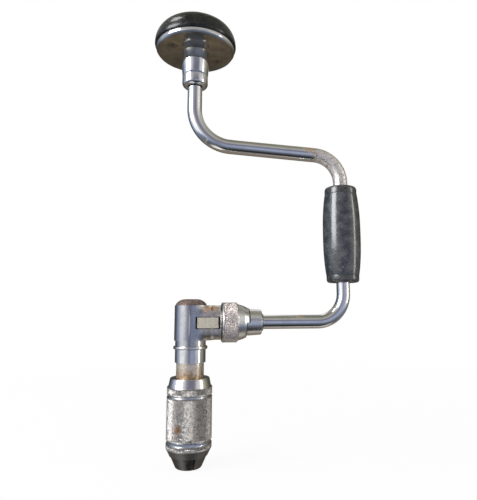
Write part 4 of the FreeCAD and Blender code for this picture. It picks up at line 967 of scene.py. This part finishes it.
# The shell screws on the spindle and closes the jaws. It has a plain polished cone at its top and
# three bands of fine diamond knurl between polished grooves, worn soft, pitted and dirty. Its mouth
# is a dark cone that carries the line of the jaws on.
MOUTH = 9.2
BANDS = [(14.9, 18.2), (21.2, 52.3), (54.2, 59.6)]
SHELL_RADIUS = 17.5
GROOVE_RADIUS = 16.8
THREAD_BORE = 10.55
THREAD_BOTTOM = 51.0
CAVITY_RADIUS = 15.95
CAVITY_FOOT = 13.24
SHELL_KNURL = 1.3
SHELL_KNURL_DEPTH = 0.36


def shell_outline():
    """The shell's section: mouth cone, three knurled bands with grooves between, cone, thread and bore."""
    outline = [(CAVITY_FOOT * 0.46 + 9.56, CAVITY_FOOT - 0.65), (14.09, MOUTH), (14.6, MOUTH, 0.15),
               (17.25, BANDS[0][0] - 0.5, 0.1)]
    for (low, high), beyond in zip(BANDS, BANDS[1:]):
        outline += [(SHELL_RADIUS, low, 0.15), (SHELL_RADIUS, low + 0.2), (SHELL_RADIUS, high - 0.2),
                    (SHELL_RADIUS, high, 0.15), (GROOVE_RADIUS, high + 0.4, 0.4),
                    (GROOVE_RADIUS, beyond[0] - 0.4, 0.4)]
    low, high = BANDS[-1]
    return outline + [
        (SHELL_RADIUS, low, 0.15), (SHELL_RADIUS, low + 0.2), (SHELL_RADIUS, high - 0.25),
        (SHELL_RADIUS - 0.1, high, 0.1), (16.6, high, 0.1), (15.2, SHELL_TOP, 0.9), (THREAD_BORE, SHELL_TOP),
        (THREAD_BORE, THREAD_BOTTOM), (CAVITY_RADIUS, THREAD_BOTTOM), (CAVITY_RADIUS, 13.3)]


shell_rolls = [(low + 0.15, high - 0.15) for low, high in BANDS]
shell = new_piece("knurled_shell", knurled(shell_outline(), shell_rolls, SHELL_KNURL, SHELL_KNURL_DEPTH),
                  "shell", "knurled_steel", "chuck_shell")


def shell_steel():
    """The shell's knurl with its pits and brown stain, and the dark cone of its mouth."""
    finish = knurl_steel("shell_steel", (0.56, 0.53, 0.505), (0.20, 0.185, 0.17), (0.84, 0.83, 0.81), "Z",
                         [(59.5, 80.0), (52.35, 54.15), (18.25, 21.15)])
    pits = finish.span(finish.grain(2.2, detail=2.0, rough=0.4), 0.68, 0.72)
    stain = finish.times(finish.near((-9.0, -15.0, 31.0), 5.0), finish.span(finish.grain(1.6), 0.3, 0.6))
    stain = finish.span(stain, 0.15, 0.5)
    marked = finish.mixed(stain, finish.so_far("Base Color"), (0.34, 0.20, 0.10))
    marked = finish.mixed(pits, marked, (0.10, 0.09, 0.08))
    mouth = finish.span(finish.along("Z"), 14.5 * MM, 14.3 * MM)
    finish.colour(finish.mixed(mouth, marked, (0.15, 0.147, 0.145)))
    finish.dulled(mouth, 0.36)
    return finish


shell_steel().on(shell)


# The two jaws are hard steel, blackened by heat, and split along the middle for the bit. They sit in
# the slot of the spindle, where the cone inside the shell presses them together.
def blackened_steel():
    """Heat-blacked steel, rubbed a little brighter in clouds."""
    finish = Finish("blackened_steel", Metallic=1.0)
    cloud = finish.grain(4.0, detail=5.0)
    finish.colour(finish.mixed(finish.span(cloud, 0.4, 0.75), (0.13, 0.127, 0.125), (0.23, 0.22, 0.21)))
    finish.rough(finish.span(cloud, 0.3, 0.8, 0.26, 0.42))
    finish.bumps(finish.grain(1.4, detail=4.0), 0.03)
    return finish


jaw_black = blackened_steel()
for node, body_name in (("jaw_a", "right_jaw"), ("jaw_b", "left_jaw")):
    jaw_black.on(beveled_copy(node + "_black", node, body_name, "blackened_steel", width=0.3))


# The studio: a pale floor, a soft lamp at the upper left, a weaker one at the right, and round the
# object a tall curved screen whose tones show only in the polished metal, with gaps for the windows.
CAMERA_PLACE = Vector((-5.2, -378.8, 120.9)) * MM
CAMERA_AZIMUTH = math.radians(8.87)
CAMERA_PITCH = math.radians(8.36)
CAMERA_ROLL = math.radians(-0.157)
FOCAL_PIXELS = 464.26
FRAME_WIDTH, FRAME_HEIGHT = 477, 500
PRINCIPAL = Vector((257.63, 238.07))
SENSOR = 36.0

forward = Vector((math.sin(CAMERA_AZIMUTH) * math.cos(CAMERA_PITCH),
                  math.cos(CAMERA_AZIMUTH) * math.cos(CAMERA_PITCH), math.sin(CAMERA_PITCH)))
level = Vector((math.cos(CAMERA_AZIMUTH), -math.sin(CAMERA_AZIMUTH), 0))
upright = level.cross(forward)
right = level * math.cos(CAMERA_ROLL) + upright * math.sin(CAMERA_ROLL)
above = upright * math.cos(CAMERA_ROLL) - level * math.sin(CAMERA_ROLL)
camera_data = bpy.data.cameras.new("camera")
camera_data.sensor_width = SENSOR
camera_data.lens = FOCAL_PIXELS * SENSOR / FRAME_HEIGHT
camera_data.shift_x = (FRAME_WIDTH / 2 - PRINCIPAL.x) / FRAME_HEIGHT
camera_data.shift_y = (PRINCIPAL.y - FRAME_HEIGHT / 2) / FRAME_HEIGHT
camera_data.clip_start = 0.01
camera = placed("camera", camera_data)
turn = Matrix((right, above, -forward)).transposed().to_4x4()
camera.matrix_world = Matrix.Translation(CAMERA_PLACE) @ turn
bpy.context.scene.camera = camera

PLATE_LOSS = 1.15


def as_seen(colour):
    """A light's strength from how bright the plate shows it on a screen, from 0 to 1."""
    return tuple(PLATE_LOSS * value ** 2.2 for value in colour)


def blended(first, second, share):
    share = min(max(share, 0), 1)
    return tuple(a + (b - a) * share for a, b in zip(first, second))


def between(stops, place):
    """Blend colours given as (place, colour) to the colour at a place."""
    for (low, first), (high, second) in zip(stops, stops[1:]):
        if low <= place <= high:
            return blended(first, second, (place - low) / (high - low))
    return stops[0][1] if place < stops[0][0] else stops[-1][1]


ROUND_THE_ROOM = [
    (-180, (0.30, 0.30, 0.29)), (-150, (0.25, 0.25, 0.26)), (-125, (0.31, 0.33, 0.36)),
    (-110, (0.38, 0.42, 0.47)), (-97, (0.60, 0.65, 0.72)), (-85, (0.72, 0.76, 0.84)),
    (-75, (0.80, 0.84, 0.90)), (-62, (0.90, 0.93, 0.97)), (-36, (0.96, 0.96, 0.97)),
    (-28, (0.82, 0.82, 0.85)), (-20, (0.70, 0.70, 0.73)), (-12, (0.58, 0.58, 0.61)),
    (-3, (0.47, 0.47, 0.52)), (8, (0.43, 0.43, 0.49)), (28, (0.43, 0.43, 0.49)),
    (38, (0.56, 0.56, 0.60)), (46, (0.76, 0.76, 0.77)), (60, (0.82, 0.82, 0.82)),
    (67, (0.84, 0.83, 0.82)), (70, (1.0, 0.99, 0.97)), (79, (1.0, 0.98, 0.96)),
    (84, (0.80, 0.79, 0.75)), (92, (0.66, 0.65, 0.60)), (105, (0.56, 0.55, 0.50)),
    (118, (0.46, 0.45, 0.40)), (130, (0.36, 0.35, 0.31)), (150, (0.28, 0.275, 0.25)),
    (180, (0.30, 0.30, 0.29)),
]
UP_THE_ROOM = [
    (42, (0.64, 0.64, 0.62)), (55, (0.57, 0.57, 0.54)), (68, (0.50, 0.49, 0.44)),
    (87, (0.40, 0.39, 0.33)),
]
DOWN_IN_FRONT = [
    (-90, (0.42, 0.40, 0.38)), (-80, (0.37, 0.355, 0.34)), (-70, (0.15, 0.15, 0.155)),
    (-60, (0.15, 0.15, 0.16)), (-48, (0.27, 0.275, 0.29)), (-32, (0.38, 0.41, 0.46)),
    (-18, (0.47, 0.52, 0.62)),
]
DOWN_BEHIND = [
    (-90, (0.42, 0.40, 0.38)), (-75, (0.50, 0.47, 0.44)), (-55, (0.46, 0.42, 0.38)),
    (-32, (0.48, 0.44, 0.39)), (-18, (0.36, 0.34, 0.31)),
]
PATCHES = [
    ((0.56, 0.59, 0.68), (22, 22), (-5, 20)),
    ((0.93, 0.92, 0.90), (-72, 50), (-70, 24)),
    ((0.70, 0.69, 0.67), (105, 45), (-68, 24)),
]
WINDOWS = [(-75, -39, -15, 48), (171, 189, 27, 60)]
SCREEN_STEP = 3
SCREEN_RADIUS = 1.5
SCREEN_CENTRE = Vector((50.0, 0.0, 180.0)) * MM


def room_tone(azimuth, elevation):
    """What the metal sees in a direction: azimuth from the camera towards its right, and elevation."""
    tone = between(ROUND_THE_ROOM, azimuth)
    if elevation > 0:
        tone = blended(tone, between(UP_THE_ROOM, elevation), (elevation - 27) / 15)
    else:
        in_front, behind = between(DOWN_IN_FRONT, elevation), between(DOWN_BEHIND, elevation)
        below = blended(in_front, behind, (abs(azimuth) - 80) / 50)
        tone = blended(tone, below, (-6 - elevation) / 14)
    for colour, (middle, width), (height, depth) in PATCHES:
        share = min(1 - abs(azimuth - middle) / width, 1 - abs(elevation - height) / depth)
        tone = blended(tone, colour, 2 * share)
    return tone


def way_out(azimuth, elevation):
    """The direction in the room, from angles in degrees off the camera's own direction."""
    to_camera = Vector((-math.sin(CAMERA_AZIMUTH), -math.cos(CAMERA_AZIMUTH), 0))
    flat = to_camera * math.cos(math.radians(azimuth)) + level * math.sin(math.radians(azimuth))
    rise = math.radians(elevation)
    return flat * math.cos(rise) + Vector((0, 0, math.sin(rise)))


def at_window(azimuth, elevation):
    return any(left <= azimuth + turned_round < right and foot <= elevation < top
               for left, right, foot, top in WINDOWS for turned_round in (0, 360))


def screen():
    """A round screen about the object that only polished metal sees, open at its windows."""
    bm = bmesh.new()
    paint = bm.loops.layers.float_color.new("tone")
    around = range(-180, 180, SCREEN_STEP)
    rings = []
    for elevation in range(-90, 91, SCREEN_STEP):
        ring = []
        for azimuth in around:
            vert = bm.verts.new(SCREEN_CENTRE + way_out(azimuth, elevation) * SCREEN_RADIUS)
            ring.append((vert, as_seen(room_tone(azimuth, elevation)), azimuth, elevation))
        rings.append(ring)
    for low, high in zip(rings, rings[1:]):
        for k in range(len(around)):
            after = (k + 1) % len(around)
            corners = (low[k], low[after], high[after], high[k])
            if at_window(*low[k][2:]):
                continue
            face = bm.faces.new([corner[0] for corner in corners])
            face.smooth = True
            for loop, corner in zip(face.loops, corners):
                loop[paint] = (*corner[1], 1)
    return mesh_of(bm, "screen")


def studio_thing(name, mesh):
    thing = placed(name, mesh)
    return thing


def bare_nodes(owner):
    """The nodes of a material or of the world, with none of those that it starts with."""
    laid = Nodes(owner)
    laid.nodes.clear()
    return laid


screen_material = bpy.data.materials.new("screen_glow")
laid = bare_nodes(screen_material)
tone = laid.add("ShaderNodeVertexColor", layer_name="tone").outputs["Color"]
glow = laid.add("ShaderNodeEmission", [("Color", tone)]).outputs[0]
laid.add("ShaderNodeOutputMaterial", [("Surface", glow)])
screen_object = studio_thing("screen", screen())
screen_object.data.materials.append(screen_material)
for sight in ("camera", "diffuse", "transmission", "volume_scatter", "shadow"):
    setattr(screen_object, "visible_" + sight, False)

FLOOR_REACH = 6.0
floor_mesh = bpy.data.meshes.new("floor")
corners = [(x * FLOOR_REACH, y * FLOOR_REACH, 0) for x, y in ((-1, -1), (1, -1), (1, 1), (-1, 1))]
floor_mesh.from_pydata(corners, [], [(0, 1, 2, 3)])
floor = studio_thing("floor", floor_mesh)
floor.visible_glossy = False
floor_material = bpy.data.materials.new("pale_floor")
laid = bare_nodes(floor_material)
place = laid.add("ShaderNodeTexCoord").outputs["Object"]
away = laid.add("ShaderNodeVectorMath", [(0, place)], operation="LENGTH").outputs["Value"]
seen = laid.add("ShaderNodeLightPath").outputs["Is Camera Ray"]
share = laid.times(seen, laid.span(away, 0.10, 0.90, 0.93, 1.0))
pale = laid.add("ShaderNodeBsdfDiffuse", [("Color", (0.86, 0.86, 0.86))]).outputs[0]
white = laid.add("ShaderNodeEmission").outputs[0]
blend = laid.add("ShaderNodeMixShader", [(0, share), (1, pale), (2, white)]).outputs[0]
laid.add("ShaderNodeOutputMaterial", [("Surface", blend)])
floor.data.materials.append(floor_material)

world = bpy.data.worlds.new("white_room")
bpy.context.scene.world = world
laid = bare_nodes(world)
rays = laid.add("ShaderNodeLightPath").outputs
seen = laid.plus(laid.plus(rays["Is Camera Ray"], rays["Is Glossy Ray"]), rays["Is Transmission Ray"])
strength = laid.span(seen, 0.0, 1.0, 0.58, 1.0)
sky = laid.add("ShaderNodeBackground", [("Color", (1, 1, 1)), ("Strength", strength)]).outputs[0]
laid.add("ShaderNodeOutputWorld", [("Surface", sky)])
LAMP_DISTANCE = 1.2


def soft_lamp(name, azimuth, elevation, size, glow, colour):
    """A soft window of light at an angle off the camera's direction, with its glow as a brightness."""
    data = bpy.data.lights.new(name, "AREA")
    data.shape = "RECTANGLE"
    data.size, data.size_y = size
    data.energy = glow * math.pi * size[0] * size[1]
    data.color = colour
    lamp = placed(name, data)
    way = way_out(azimuth, elevation)
    lamp.location = SCREEN_CENTRE + way * LAMP_DISTANCE
    lamp.rotation_euler = (-way).to_track_quat("-Z", "Y").to_euler()
    lamp.visible_camera = False


soft_lamp("window_lamp", -56, 23, (0.60, 0.74), 8.0, (0.95, 0.975, 1.0))
soft_lamp("right_lamp", 76, 8, (0.12, 0.85), 6.0, (1.0, 0.97, 0.93))
soft_lamp("high_lamp", -72, 60, (0.36, 0.26), 7.0, (1.0, 1.0, 1.0))

bpy.context.scene.view_settings.view_transform = "Standard"
